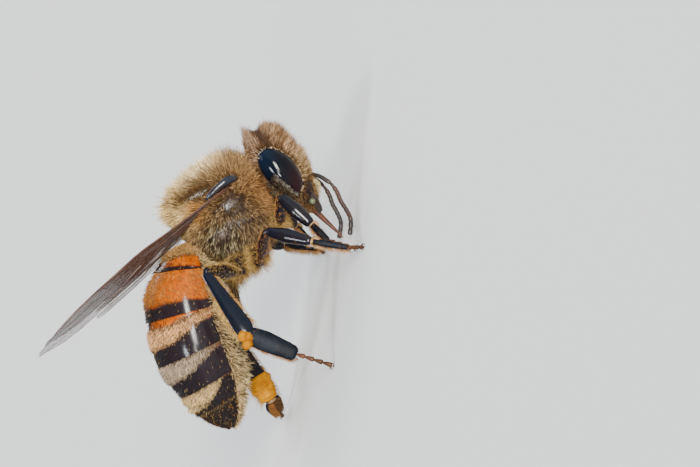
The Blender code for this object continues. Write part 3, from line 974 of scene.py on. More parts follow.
head_shell, plate_of_face = head_skin(), face_plate()
for side, letter in LETTERS.items():
    keep(compound_eye(side), f"compound_eye_{letter}", EYE_LENS, "eye", f"eye_{letter}")
keep(beads(SIMPLE_EYES, 0.14), "simple_eyes", EYE_LENS, "eye")
keep(beads(FEELER_SOCKETS, 0.17), "feeler_sockets", JOINT_SHELL, "feeler")
print("head shell:", len(head_shell.data.polygons), "faces")

# %% Head coat
HEAD_TREE = surface_of("head")
PARTING = 0.35  # how far ahead the crown's hair divides into two tufts
# Where the coat leaves the shell bare beside the mouth, and round the jaw joint. The hairs that stay there
# are painted near black: painted shade in that hollow.
MOUTH_GAP = ((0.60, 0.9, 1.08), (0.56, 0.86, 1.25), (0.48, 0.8, 1.45), (0.28, 0.74, 1.70))


def in_parting(ahead, beside):
    return np.exp(-((ahead - PARTING - 0.08 * beside) / 0.19) ** 4)


def folded(ahead, beside, down):
    """Places on the head, with its right half folded over its left."""
    return np.stack([ahead, np.abs(beside), down], axis=1)


def outside_eyes(ahead, beside, down):
    return (((folded(ahead, beside, down) - EYE_MIDDLE) / EYE_HALF) ** 2).sum(axis=1) > 1


def head_coat(name, count, seed, highest, lowest):
    """Hair between two distances toward the mouth."""

    def weight(points):
        ahead, beside, down = in_head(points)
        crown = 1 - ramp(down, -1.1, -0.4)
        parting = crown * in_parting(ahead, beside)
        plate = np.exp(-((beside / 0.55) ** 4) - ((down - 1.35) / 0.42) ** 4) * (ahead > 0.2)
        gap = near(folded(ahead, beside, down), MOUTH_GAP, 0.25)
        seen = (down >= highest) & (down < lowest) & outside_eyes(ahead, beside, down)
        return seen * (0.8 + 0.7 * crown) * (1 - 0.45 * parting) * (1 - 0.93 * plate) * (1 - 0.97 * gap)

    roots, normals, rng = scattered(head_shell, count, seed, weight)
    dyed = partial(tone, rng=rng, count=count)
    ahead, beside, down = in_head(roots)
    crown = 1 - ramp(down, -1.0, -0.3)
    brow = ramp(ahead, 0.2, 0.7) * (1 - ramp(down, 0.6, 1.0))
    rear = ramp(-ahead, 0.0, 0.3) * (1 - crown)
    tuft = crown * (ahead < PARTING) * ramp(ahead, -0.12, 0.12)
    comb = (0.85 * crown * (ahead > PARTING) + 0.95 * tuft)[:, None] * FACE
    comb = comb - (0.12 + 0.55 * crown + 0.25 * tuft)[:, None] * MOUTHWARD
    comb = comb + 0.55 * ramp(down, 0.6, 1.4)[:, None] * MOUTHWARD
    comb = comb + rear[:, None] * 0.35 * SIDE * np.sign(beside)[:, None]
    ways = unit(normals + comb + rng.normal(size=(count, 3)) * 0.17)
    reach = room(HEAD_TREE, roots, ways, most=1.1) + 0.16 * crown + 0.26 * tuft
    limit = 0.20 + 0.18 * rear * (1 - ramp(down, -0.2, 0.4)) + 0.75 * np.maximum(crown, 0.68 * brow)
    limit = limit * (1 - 0.75 * crown * (1 - ramp(ahead, -0.12, 0.15)))
    lengths = np.minimum(reach, limit) * (0.42 + 0.66 * rng.random(count) ** 0.9)
    bends, shade = locks(roots, ways, lengths, rng, each=12, pull=0.42)
    bends = bends + 0.08 * rng.normal(size=(count, 3))
    parted = crown * in_parting(ahead, beside)
    lengths = lengths * (1 - 0.5 * parted)

    low = ramp(down, -0.3, 0.15)
    root = mixed(np.maximum(crown, brow), dyed(UMBER), dyed(UMBER) * 0.5)
    root = mixed(rear, root, dyed(SOOT))
    top = mixed(ramp(ahead, 0.2, 0.8), dyed((0.52, 0.35, 0.23)), dyed((0.48, 0.30, 0.16)))
    face = mixed(low, dyed((0.56, 0.35, 0.19)), dyed((0.68, 0.47, 0.23)))
    tip = mixed(crown, face, top)
    behind = mixed(low, dyed((0.30, 0.14, 0.045)), dyed((0.19, 0.155, 0.10)))
    behind = mixed(0.8 * crown * (1 - ramp(ahead, -0.2, 0.05)), behind, dyed((0.16, 0.10, 0.06)))
    tip = mixed(rear, tip, behind) * (1 + 0.42 * shade)[:, None]
    jowl = ramp(down, 1.0, 1.5) * (1 - ramp(ahead, 0.2, 0.5))
    tip = mixed(0.75 * jowl * rng.random(count) ** 0.5, tip, dyed((0.10, 0.05, 0.02)))
    tip = flecked(flecked(tip, rng, 0.2 + 0.15 * crown, RUSSET), rng, 0.12 + 0.16 * crown, UMBER)
    tip = mixed(parted, tip, dyed((0.06, 0.035, 0.026)))
    # Hairs in the hollow beside the mouth are painted near black: painted shade.
    tip = mixed(0.85 * near(folded(ahead, beside, down), MOUTH_GAP, 0.34), tip, dyed(SOOT))
    grow(name, roots, ways, lengths, bends, root, tip, HEAD_MAP(roots), width=0.023, rings=3, fade=2.6)


head_coat("head_coat_crown", 9500, 21, -2.0, -0.35)
head_coat("head_coat_face", 10500, 24, -0.35, 2.1)


# %% Eye rims, cheek bands and face down
def eye_rims(name, each, seed):
    """A row of short pale hairs round each eye."""
    rng = np.random.default_rng(seed)
    count = 2 * each
    turn = rng.uniform(-2.3, 1.5, count)
    side = np.repeat((-1, 1), each)
    lift = rng.uniform(0.26, 0.42, count)
    away = unit(np.stack([np.cos(turn), side * lift, np.sin(turn)], axis=1))
    roots = on_head(eye_surface(away) * 1.01 + EYE_MIDDLE * by_side(side))
    out = unit(away / EYE_HALF) @ HEAD_AXES
    ways = unit(out * 0.8 + side[:, None] * SIDE * 0.4 + 0.3 * rng.normal(size=(count, 3)))
    lengths = rng.uniform(0.03, 0.13, count) + 0.07 * (turn > 0.75) * rng.random(count)
    root, tip = tone(UMBER, rng, count) * 0.4, tone((0.62, 0.46, 0.28), rng, count, 0.9)
    grow(name, roots, ways, lengths, 0 * roots, root, tip, HEAD_MAP(roots), width=0.018)


def cheek_band(name, each, seed):
    """A slanting band of short grey hairs over the lower rear edge of each eye."""
    rng = np.random.default_rng(seed)
    count = 2 * each
    side = np.repeat((-1, 1), each)
    share, behind = rng.uniform(0, 1, count), np.abs(rng.normal(size=count))
    back = -0.50 + 0.30 * share**2 - 0.24 * behind + 0.04 * rng.normal(size=count)
    down = -0.08 + 1.0 * share
    away = unit(np.stack([back, side * np.sqrt(np.maximum(1 - back**2 - down**2, 0.01)), down], axis=1))
    roots = on_head(eye_surface(away) + EYE_MIDDLE * by_side(side))
    out = unit(away / EYE_HALF) @ HEAD_AXES
    ways = unit(0.45 * out + MOUTHWARD + 0.15 * FACE + 0.25 * rng.normal(size=(count, 3)))
    # Grey near the band's line is partly the hairs' own colour, partly painted light they catch along the
    # eye's glint; the brown behind it is painted shade on the cheek.
    pale, brown = tone((0.36, 0.32, 0.25), rng, count, 0.7), tone((0.15, 0.10, 0.05), rng, count, 0.7)
    tip = flecked(mixed(ramp(behind, 0.1, 0.8), pale, brown), rng, 0.4, SOOT)
    lengths = rng.uniform(0.05, 0.20, count)
    grow(name, roots, ways, lengths, 0 * roots, tip * 0.15, tip, HEAD_MAP(roots), width=0.013)


def face_plate_down(name, count, seed):
    """Short pale down over the face plate."""
    roots, normals, rng = scattered(plate_of_face, count, seed, lambda p: in_head(p)[0] > 0.5)
    ways = unit(normals + 0.9 * MOUTHWARD + 0.2 * rng.normal(size=(count, 3)))
    lengths = rng.uniform(0.07, 0.15, count)
    tip = tone((0.68, 0.53, 0.28), rng, count, 0.3)
    bends = 0.1 * rng.normal(size=(count, 3))
    grow(name, roots, ways, lengths, bends, tip * 0.4, tip, HEAD_MAP(roots), width=0.018)


eye_rims("eye_rim_hair", 150, 22)
cheek_band("cheek_band_hair", 620, 25)
face_plate_down("face_plate_down", 1500, 23)
keep(head_shell, "head_shell", HEAD_SHELL, "hair", "head")
keep(plate_of_face, "face_plate", HEAD_SHELL, "hair")

# %% [markdown]
# ## Feelers and mouth
# A feeler has a long first joint, a short elbow and a whip of ten short rings. The whip is drawn straight
# with a waist between rings, the elbow as its first ring, then bent along its path. The jaws close below
# the face, and the folded tongue hangs behind them: two pairs of amber blades beside a rod.

# %% Feelers
SCAPE = ((2.3, -0.4, 2.12), (2.28, -0.68, 1.72), (2.09, -0.92, 1.24))
WHIP = ((2.09, -0.92, 1.24), (1.83, -0.99, 0.95), (1.5, -1.06, 0.72), (1.2, -1.15, 0.43),
        (0.86, -1.25, 0.19), (0.28, -1.38, 0.11))
WHIP_RINGS = 11  # the elbow and ten rings
# Share of a ring, and how thick it is there.
RING_FORM = ((0.06, 0.86), (0.22, 1.0), (0.88, 1.03), (0.98, 0.84))
ELBOW_HALF, RING_HALF = 0.066, 0.090


def on_side(points, side):
    return np.array(points, float) * np.array([1, -side, 1])


def feeler_scape(side):
    stations = [(0, 0.06, 0.06), (0.04, 0.1, 0.1), (0.12, 0.07, 0.07), (0.2, 0.082, 0.082),
                (0.7, 0.096, 0.096), (0.93, 0.098, 0.098), (1.0, 0.06, 0.06)]
    piece = smoothed(drawn_tube(stations, 12))
    return shaded(bent_along(piece, smooth_curve(on_side(SCAPE, side), 4)), 60)


def feeler_whip(side):
    path = smooth_curve(on_side(WHIP, side), 6)
    stations = [(0, 0.045, 0.045)]
    for ring in range(WHIP_RINGS):
        low, high = ring / WHIP_RINGS, (ring + 1) / WHIP_RINGS
        half = RING_HALF if ring else ELBOW_HALF
        for share, scale in RING_FORM:
            stations.append((low + share * (high - low), half * scale, half * scale, 0, 0))
    stations.append((1.0, 0.04, 0.04))
    return shaded(bent_along(drawn_tube(stations, 14), path), 35)


for side, letter in LETTERS.items():
    keep(feeler_scape(side), f"feeler_scape_{letter}", FEELER_SHELL, "feeler", f"antenna_scape_{letter}")
    keep(feeler_whip(side), f"feeler_whip_{letter}", FEELER_SHELL, "feeler", f"antenna_flagellum_{letter}")

# %% Jaws, lip and tongue
JAW = ((1.52, -0.62, 2.1), (1.42, -0.66, 1.85), (1.22, -0.52, 1.54), (0.97, -0.24, 1.27))
JAW_JOINTS = ((0.27, 0.72, 1.70), (0.27, -0.72, 1.70))
TONGUE = ((1.08, 0, 1.7), (0.95, 0, 1.42), (0.68, 0, 0.93), (0.42, 0, 0.48), (0.22, 0, 0.13))
BLADE_FORM = ((0, 0.6), (0.05, 1.0), (0.3, 0.95), (0.6, 0.72), (0.85, 0.5), (0.97, 0.3), (1, 0.12))
# Each blade's distance from the middle line, half width, and share of the tongue's length.
BLADES = ((0.09, 0.085, 0.86), (-0.09, 0.085, 0.86), (0, 0.06, 1.0), (0.17, 0.045, 0.7), (-0.17, 0.045, 0.7))


def jaw(side):
    path = smooth_curve(on_side(JAW, side), 5)
    stations = [(0, 0.14, 0.1), (0.08, 0.20, 0.15), (0.3, 0.18, 0.14), (0.55, 0.16, 0.12),
                (0.82, 0.14, 0.08), (0.96, 0.12, 0.06), (1.0, 0.08, 0.03)]
    return shaded(bent_along(smoothed(drawn_tube(stations, 14)), path), 60)


def upper_lip():
    stations = [(1.60, 0.08, 0.32, 0.42, 0), (1.68, 0.13, 0.40, 0.40, 0), (1.78, 0.11, 0.39, 0.38, 0),
                (1.87, 0.07, 0.30, 0.35, 0), (1.90, 0.03, 0.2, 0.34, 0)]
    return shaded(laid_on_head(smoothed(drawn_tube(stations, 16))), 60)


def tongue_blade(beside, half, end):
    """One blade beside the middle line, tapering to its tip at a share of the tongue's length."""
    path = smooth_curve(TONGUE, 6)
    stations = [(share * end, half * scale * 1.5, half * scale, 0, beside * (1 - 0.6 * share))
                for share, scale in BLADE_FORM]
    return bent_along(drawn_tube(stations, 12), path)


def tongue():
    return shaded(smoothed(joined([tongue_blade(*blade) for blade in BLADES])), 60)


for side, letter in LETTERS.items():
    keep(jaw(side), f"jaw_{letter}", MOUTH_SHELL, "black_shell", f"mandible_{letter}")
keep(upper_lip(), "upper_lip", MOUTH_SHELL, "black_shell")
# Each jaw joint is a small pale bead: a painted glint.
keep(beads(JAW_JOINTS, 0.13), "jaw_joint_painted_glints", GLINT_SHELL, "black_shell")
keep(tongue(), "tongue", TONGUE_SHELL, "tongue", "proboscis")
print("mouth made")

# %% [markdown]
# ## Abdomen
# Each ring of the abdomen is a curved back plate that wraps down the flanks and a belly plate tucked under
# its edges. Every plate slides under the one in front, so its front edge is drawn in and its rear edge
# stands out a little. A plate is a flat grid wrapped round the body, then thickened.

# %% Abdomen outline
# Side outline of the shell: distance back from the waist and height, for the back and for the belly.
BACK_LINE = ((-0.72, 0.45), (-0.5, 1.12), (-0.15, 1.6), (0.4, 2.2), (1.2, 2.60), (2.8, 2.82), (3.9, 2.72),
             (5.0, 2.28), (5.7, 1.93), (6.2, 1.54), (6.55, 1.05), (6.66, 0.84))
BELLY_LINE = ((-0.72, 0.15), (-0.5, 0.0), (-0.15, -0.16), (0.4, -0.3), (1.2, -0.4), (2.8, -0.5),
              (3.9, -0.48), (5.0, -0.27), (5.7, 0.0), (6.2, 0.24), (6.5, 0.5), (6.62, 0.7))
# Half width of the shell by the distance back.
WIDTH_LINE = ((-0.72, 0.3), (-0.5, 0.75), (-0.15, 1.3), (0.4, 1.72), (1.2, 1.98), (2.8, 2.12), (3.9, 2.03),
              (5.0, 1.64), (5.7, 1.24), (6.2, 0.84), (6.5, 0.45), (6.64, 0.14))
# Where the rings end, along the back and along the belly.
RING_ENDS_BACK = (-0.72, -0.02, 1.76, 3.55, 4.95, 5.8, 6.66)
RING_ENDS_BELLY = (-0.72, 0.45, 1.9, 3.1, 4.3, 5.2, 6.62)
SMOOTH_LINES = [smooth_curve(line, 5).T for line in (BACK_LINE, BELLY_LINE, WIDTH_LINE)]
PLATE_EDGE = math.radians(126)  # from the top, where back plate and belly plate meet
FULLNESS = 2.15  # of a ring's cross-section, where 2 is an ellipse and more is squarer


def abdomen_point(ring, angle, lift):
    """A point of the shell: ring counts rings back from the waist, angle turns from the top to the left."""
    back = np.interp(ring, range(7), RING_ENDS_BACK)
    belly = np.interp(ring, range(7), RING_ENDS_BELLY)
    back_line, belly_line, width_line = SMOOTH_LINES
    top = np.stack([back, np.interp(back, *back_line)], axis=-1)
    under = np.stack([belly, np.interp(belly, *belly_line)], axis=-1)
    half_width = np.interp((back + belly) / 2, *width_line)
    middle, spoke = (top + under) / 2, (top - under) / 2
    c, s = np.cos(angle), np.sin(angle)
    reach = (np.abs(c) ** FULLNESS + np.abs(s) ** FULLNESS) ** (-1 / FULLNESS)
    size = np.linalg.norm(spoke, axis=-1)
    raised = (size + lift) / np.maximum(size, 1e-6)
    flat = middle + (c * reach * raised)[..., None] * spoke
    beside = s * reach * (half_width + lift)
    return WAIST + flat[..., :1] * TAILWARD + flat[..., 1:] * ABDOMEN_UP + beside[..., None] * SIDE


def sheet(ring_start, ring_end, angle_start, angle_end, lift_front, lift_rear):
    """A bare curved sheet whose points know their ring and their turn from the top."""
    piece = new_piece(bpy.ops.mesh.primitive_grid_add, x_subdivisions=44, y_subdivisions=14, size=2)
    x, y = ((points_of(piece.data)[:, i] + 1) / 2 for i in (0, 1))
    ring = ring_start + y * (ring_end - ring_start)
    angle = angle_start + x * (angle_end - angle_start)
    lift = lift_front + (lift_rear - lift_front) * y**1.6 + 0.05 * np.sin(y * math.pi)
    set_points(piece, abdomen_point(ring, angle, lift))
    turn = np.minimum(np.abs(angle), 2 * math.pi - np.abs(angle))
    for name, values in (("ring", ring), ("turn", turn)):
        piece.data.attributes.new(name, "FLOAT", "POINT").data.foreach_set("value", values)
    outward = 0
    for face in piece.data.polygons:
        spoke = np.array(face.center) - WAIST - 1.1 * ABDOMEN_UP
        outward += np.dot(spoke - np.dot(spoke, TAILWARD) * TAILWARD, face.normal)
    return edited(piece, bpy.ops.mesh.flip_normals) if outward < 0 else piece


PLATE_REACH, PLATE_REST = 1.28, 0.03  # in rings: forward under the plate in front, and back past the ring
TUCK = 0.2  # radians, how far the belly plate runs in behind the back plate
BACK_LIFT, BELLY_LIFT = (-0.10, 0.02), (-0.16, -0.045)  # off the outline, at the front and the rear edge
back_sheets, belly_sheets = [], []
for number in range(1, 7):
    front = 0.0 if number == 1 else number - PLATE_REACH
    rear = number + (PLATE_REST if number < 6 else 0.0)
    back_sheets.append(sheet(front, rear, -PLATE_EDGE, PLATE_EDGE, *BACK_LIFT))
    belly_sheets.append(sheet(front, rear, PLATE_EDGE - TUCK, 2 * math.pi - PLATE_EDGE + TUCK, *BELLY_LIFT))
print("abdomen plates:", len(back_sheets) + len(belly_sheets))

# %% Abdomen coat
SHELL_SLOTS = {number: "orange_shell" if number < 4 else "black_shell" for number in range(1, 7)}
# For each ring: start and end of its pale felt along the ring, how dense it is, its length, root and tip.
FELT = {
    1: (0.0, 0.46, 1.0, 0.50, UMBER, (0.50, 0.27, 0.085)),
    2: (0.0, 0.66, 0.10, 0.16, RUSSET, (0.42, 0.16, 0.02)),
    3: (0.20, 0.58, 1.0, 0.16, (0.10, 0.040, 0.014), (1.0, 0.55, 0.23)),
    4: (0.0, 0.50, 1.0, 0.16, (0.05, 0.035, 0.024), (0.56, 0.43, 0.28)),
    5: (0.0, 0.70, 1.0, 0.18, (0.06, 0.040, 0.022), (0.86, 0.60, 0.26)),
    6: (0.0, 0.03, 0.5, 0.32, SOOT, (0.40, 0.25, 0.10)),
}


def felt_cover(number, ring, turn, wobble=0.0):
    """1 where the felt lies, 0 on the bare black part of a ring."""
    low, high = FELT[number][:2]
    share = ring - (number - 1) + wobble
    shift, start, full = FLANK_SHIFT[number - 1]
    high = high + shift * ramp(turn, start, full)
    low = low + (0.5 * shift * ramp(turn, start, full) if number == 3 else 0)
    return ramp(share, low - 0.04, low + 0.06) * (1 - ramp(share, high - 0.10, high + 0.12)) * (share > -0.1)


def abdomen_map(roots, ring, turn):
    """Each root's place on the shell laid flat: round the body, and along it."""
    angle = np.sign((roots - WAIST) @ SIDE) * turn
    return np.stack([angle / (2 * math.pi) + 0.5, ring / 6], axis=1)


def abdomen_coat(name, piece, number, count, seed):
    """Felt bands on a back plate, with a few dark and golden hairs between them."""
    dense, longest, root, tip = FELT[number][2:]

    def weight(points, ring, turn):
        seen = ring > number - 1.03
        cover = dense * felt_cover(number, ring, turn)
        streak = 1 - 0.35 * np.exp(-(((turn - 1.46) / 0.10) ** 2))
        return seen * (cover * streak + (0.05 if number < 5 else 0.26))

    roots, normals, rng, ring, turn = scattered(piece, count, seed, weight, ("ring", "turn"))
    dyed = partial(tone, rng=rng, count=count)
    felt = felt_cover(number, ring, turn, (0.14 if number == 1 else 0.05) * rng.normal(size=count))
    stand = {1: 1.0, 2: 0.75, 6: 0.8}.get(number, 0.42)
    tall = rng.random(count) < 0.10 + 0.16 * (turn < 1.0)
    comb = (stand + 0.7 * tall)[:, None] * normals + 0.8 * TAILWARD
    ways = unit(comb + rng.normal(size=(count, 3)) * 0.22)
    reach = room(ABDOMEN_TREES[number], roots, ways, most=0.8)
    lengths = np.minimum(reach + 0.08 * tall, longest + 0.16 * tall) * (0.5 + 0.5 * rng.random(count))
    lengths = lengths * (0.55 + 0.45 * felt) + 0.03
    bends, shade = locks(roots, ways, lengths, rng, each=7, pull=0.4)
    bends = bends + 0.10 * rng.normal(size=(count, 3)) - 0.08 * normals

    dark = dyed((0.016, 0.011, 0.010))
    gold = (rng.random(count) < (0.08 if number < 5 else 0.055))[:, None] * dyed((0.62, 0.42, 0.15))
    pale = dyed(tip) * (1 + 0.18 * shade)[:, None]
    if number < 5:
        pale = mixed(0.35 * ramp(turn, 1.4, 1.9), pale, dyed((0.46, 0.22, 0.07)))
    pale = flecked(pale, rng, 0.25 if number > 1 else 0.12, (0.07, 0.045, 0.03))
    tip = mixed(felt, np.maximum(dark, gold), pale)
    root = mixed(felt, dark * 0.6, dyed(root))
    places = abdomen_map(roots, ring, turn)
    grow(name, roots, ways, lengths, bends, root, tip, places, width=0.024, fade=1.3,
         slot=SHELL_SLOTS[number])


def belly_coat(name, piece, number, count, seed):
    """Longer golden hair on the belly plates, thickest toward their edges."""

    def weight(points, ring, turn):
        return (ring > number - 1.0) * (0.5 + 1.6 * (1 - ramp(turn, 2.0, 2.5)))

    roots, normals, rng, ring, turn = scattered(piece, count, seed, weight, ("ring", "turn"))
    ways = unit(1.1 * normals + 0.5 * TAILWARD + rng.normal(size=(count, 3)) * 0.35)
    depth = room(ABDOMEN_TREES[number], roots, normals, most=0.6)
    reach = (depth + 0.06) / np.maximum((ways * normals).sum(axis=1), 0.4)
    lengths = np.minimum(reach, 0.50) * (0.25 + 0.9 * rng.random(count))
    bends = 0.12 * rng.normal(size=(count, 3)) + 0.10 * TAILWARD
    edge = (1 - ramp(turn, 2.1, 2.5)) * (0.5 + 0.5 * rng.random(count))
    dyed = partial(tone, rng=rng, count=count, spread=0.5)
    tip = mixed(edge * 0.5, dyed((1.0, 0.74, 0.36)), dyed((0.55, 0.30, 0.10)))
    tip = flecked(tip, rng, 0.35, (0.06, 0.03, 0.012))
    places = abdomen_map(roots, ring, turn)
    grow(name, roots, ways, lengths, bends, tip * 0.05, tip, places, width=0.025, rings=3, fade=1.8,
         slot=SHELL_SLOTS[number])


ABDOMEN_TREES = {n: surface_of(f"abdomen_segment_{n}") for n in range(1, 7)}
BACK_HAIRS = {1: 5000, 2: 3000, 3: 11000, 4: 10500, 5: 8500, 6: 5500}
BELLY_HAIRS = 1250
PLATE_THICKNESS = 0.05
for number, (back, belly) in enumerate(zip(back_sheets, belly_sheets), 1):
    abdomen_coat(f"abdomen_coat_back_{number}", back, number, BACK_HAIRS[number], 30 + number)
    belly_coat(f"abdomen_coat_belly_{number}", belly, number, BELLY_HAIRS, 40 + number)
    for plate_name, piece, nodes in (("back", back, [f"abdomen_segment_{number}"]), ("belly", belly, [])):
        apply_modifier(piece, "SOLIDIFY", thickness=PLATE_THICKNESS, offset=-1)
        keep(shaded(piece, 35), f"{plate_name}_plate_{number}", ABDOMEN_SHELL, SHELL_SLOTS[number], *nodes)

# %% [markdown]
# ## Legs
# A leg is a chain of tubes: hip, thigh, shin, a long first foot joint, four short ones and two claws. Each
# tube swells and narrows as the real one does, and the shin and foot of the hind leg are flat and broad,
# because they carry and comb the pollen. A cream cuff rings the end of each shin, and a cream spur stands
# there on the front and middle legs.

# %% Leg joints
# For each side: base of the hip, hip, knee, end of the shin, end of the long foot joint, sole.
LEG_JOINTS = {
    -1: {
        "front": ((0.45, -0.75, 3.3), (-0.15, -1.1, 2.75), (1.0, -2.2, 3.22), (0.21, -2.6, 1.85),
                  (-0.27, -2.95, 1.1), (-0.35, -3.5, 0.16)),
        "middle": ((-0.9, -0.9, 3.5), (-1.7, -1.6, 3.3), (-0.52, -3.1, 3.54), (-0.55, -4.0, 1.88),
                   (-0.48, -4.4, 0.5), (-0.4, -5.15, 0.16)),
        "hind": ((-1.5, -0.8, 4.1), (-2.16, -1.35, 3.9), (-2.59, -2.9, 5.44), (-4.56, -3.8, 3.38),
                 (-4.88, -4.1, 1.45), (-5.0, -4.6, 0.16)),
    },
    1: {
        "front": ((0.45, 0.75, 3.3), (-0.1, 1.1, 2.75), (1.15, 2.25, 3.1), (0.45, 2.75, 1.75),
                  (0.05, 3.15, 1.0), (0.1, 3.75, 0.16)),
        "middle": ((-0.9, 0.9, 3.5), (-1.7, 1.6, 3.3), (-0.5, 3.1, 3.6), (-0.35, 3.95, 1.9),
                   (-0.15, 4.35, 0.5), (-0.1, 5.05, 0.16)),
        "hind": ((-1.5, 0.8, 4.1), (-2.4, 1.45, 3.8), (-4.5, 3.0, 2.95), (-6.45, 4.0, 0.9),
                 (-6.8, 5.1, 0.38), (-6.9, 5.75, 0.16)),
    },
}
LIMBS = ("coxa", "femur", "tibia", "basitarsus")
# Half widths at the start, at the widest place and at the end, that place, and depth over width.
LEG_FORMS = {
    "front": {"coxa": (0.2, 0.26, 0.17, 0.4, 0.9), "femur": (0.12, 0.22, 0.14, 0.4, 0.8),
              "tibia": (0.20, 0.29, 0.22, 0.5, 0.8), "basitarsus": (0.11, 0.14, 0.11, 0.5, 0.8)},
    "middle": {"coxa": (0.28, 0.34, 0.2, 0.4, 0.9), "femur": (0.14, 0.24, 0.16, 0.45, 0.8),
               "tibia": (0.18, 0.285, 0.20, 0.45, 0.75), "basitarsus": (0.11, 0.145, 0.10, 0.35, 0.7)},
    "hind": {"coxa": (0.3, 0.38, 0.22, 0.4, 0.9), "femur": (0.15, 0.3, 0.2, 0.5, 0.75),
             "tibia": (0.19, 0.38, 0.35, 0.85, 0.36), "basitarsus": (0.34, 0.39, 0.30, 0.35, 0.34)},
}


class Limb:
    """One straight length of a leg, drawn from its form."""

    def __init__(self, start, end, form):
        self.start, self.end = np.array(start, float), np.array(end, float)
        first, widest, last, share, self.depth = form
        self.length = np.linalg.norm(self.end - self.start)
        self.axis = unit(self.end - self.start)
        self.across = unit(np.cross(self.axis, SIDE))
        self.through = unit(np.cross(self.axis, self.across))
        outline = ((0, first * 0.5), (0.03, first * 0.92), (0.1, first * 1.04), (share, widest),
                   (0.93, last * 1.02), (0.99, last * 0.86), (1.02, last * 0.45))
        self.shares, self.halves = np.array(outline).T

    def piece(self):
        rows = sorted({*self.shares.tolist(), *np.linspace(0.18, 0.86, 6).tolist()})
        stations = []
        for share in rows:
            bulge = 1 + 0.05 * math.sin(math.pi * min(share, 1))
            half = np.interp(share, self.shares, self.halves) * bulge
            stations.append((share, half, half * self.depth))
        made = bent_along(drawn_tube(stations, 16), np.linspace(self.start, self.end, 5))
        return shaded(smoothed(made), 60)

    def surface(self, share, angle):
        """Points on the limb and their outward directions."""
        half = np.interp(share, self.shares, self.halves)[:, None]
        c, s = np.cos(angle)[:, None], np.sin(angle)[:, None]
        spot = self.start + share[:, None] * self.length * self.axis
        out = c * self.depth * self.across + s * self.through
        return spot + half * (c * self.across + s * self.depth * self.through), unit(out)


def leg_limbs(pair, joints):
    return {name: Limb(*ends, LEG_FORMS[pair][name]) for name, ends in zip(LIMBS, zip(joints, joints[1:]))}


LEGS = {(pair, side): leg_limbs(pair, joints)
        for side in LETTERS for pair, joints in LEG_JOINTS[side].items()}
print("legs:", len(LEGS))

# %% Small foot joints, claws, pads and spurs
FOOT_HALF = {"front": 0.085, "middle": 0.09, "hind": 0.10}
PAD_HALF = np.array((0.055, 0.055, 0.032))
# Share of the length, half width and half depth, which for a foot joint count in half widths of the foot.
FOOT_JOINT = ((0, 0.4, 0.4), (0.15, 0.62, 0.6), (0.75, 1.1, 0.9), (0.95, 1.05, 0.85), (1.04, 0.5, 0.4))
CLAW = ((0, 0.03, 0.03), (0.4, 0.026, 0.026), (0.8, 0.015, 0.015), (1, 0.004, 0.004))
SPUR = ((0, 0.05, 0.03), (0.3, 0.075, 0.03), (0.8, 0.05, 0.02), (1, 0.008, 0.006))


def foot(pair, start, sole):
    """Four cup-shaped joints, then a claw on each side of a soft pad that rests on the ground."""
    start, sole = np.array(start), np.array(sole)
    half = FOOT_HALF[pair]
    sole = sole + (0, 0, half * 0.9 - sole[2])
    path = np.linspace(start, sole, 5)
    stations = [(share, half * wide, half * deep) for share, wide, deep in FOOT_JOINT]
    pieces = []
    for ends in zip(path, path[1:]):
        joint = smoothed(drawn_tube(stations, 10))
        pieces.append(bent_along(joint, np.linspace(*ends, 3)))
    ahead = unit((sole - start) * (1, 1, 0))
    beside = np.cross((0, 0, 1), ahead)
    for turn in (-1, 1):
        hook = [sole + reach * ahead + turn * out * beside + (0, 0, high) for reach, out, high in
                ((-0.02, 0.03, 0), (0.08, 0.09, 0.03), (0.17, 0.11, -0.005), (0.21, 0.1, -half * 0.85))]
        pieces.append(bent_along(drawn_tube(CLAW, 8), smooth_curve(hook, 3)))
    pad = round_body(12, 8)
    spot = sole + 0.1 * ahead + (0, 0, -half * 0.9 + PAD_HALF[2])
    set_points(pad, points_of(pad.data) * PAD_HALF + spot)
    return shaded(joined([*pieces, pad]), 60)


def spur(pair, limb):
    """A cuff of pale skin round the joint at the end of the shin, with a cream blade beside it on the front
    and middle legs.
    """
    cuff = round_body(16, 10)
    end_half = limb.halves[-3]
    size = end_half * 0.6
    local = points_of(cuff.data) * (size, size * max(limb.depth, 0.5), 0.09)
    set_points(cuff, local @ np.array([limb.across, limb.through, limb.axis]) + limb.end + 0.02 * limb.axis)
    if pair == "hind":
        return shaded(cuff)
    root = limb.end + 0.6 * end_half * limb.across
    path = np.array([root, root + 0.16 * limb.axis + 0.05 * limb.across, root + 0.32 * limb.axis])
    blade = bent_along(drawn_tube(SPUR, 10), smooth_curve(path, 3))
    return shaded(joined([cuff, blade]), 60)


for (pair, side), limbs in LEGS.items():
    node = f"{pair}_leg_{LETTERS[side]}_"
    shells = {"tibia": HIND_SHELL if pair == "hind" else LEG_SHELL, "basitarsus": BRUSH_SHELL}
    for name, limb in limbs.items():
        keep(limb.piece(), node + name + "_shell", shells.get(name, LEG_SHELL), "black_shell", node + name)
    ankle, sole = LEG_JOINTS[side][pair][-2:]
    keep(foot(pair, ankle, sole), node + "foot", JOINT_SHELL, "black_shell", node + "tarsus")
    keep(spur(pair, limbs["tibia"]), node + "spur", CREAM_SHELL, "black_shell")
print("legs dressed")

# %% [markdown]
# ## Hair on the legs
# Hips and thighs carry short pale hairs, and the shins of the first two pairs only a few stiff ones. The
# hind shin is a smooth basket, with a fringe of long curved hairs along both edges that holds the pollen
# in. The long foot joints are brushes, thickly set with golden bristles below and on their inner side.


# %% Leg hair
MAP_STRIPS = 5  # side by side on the map, one for each limb


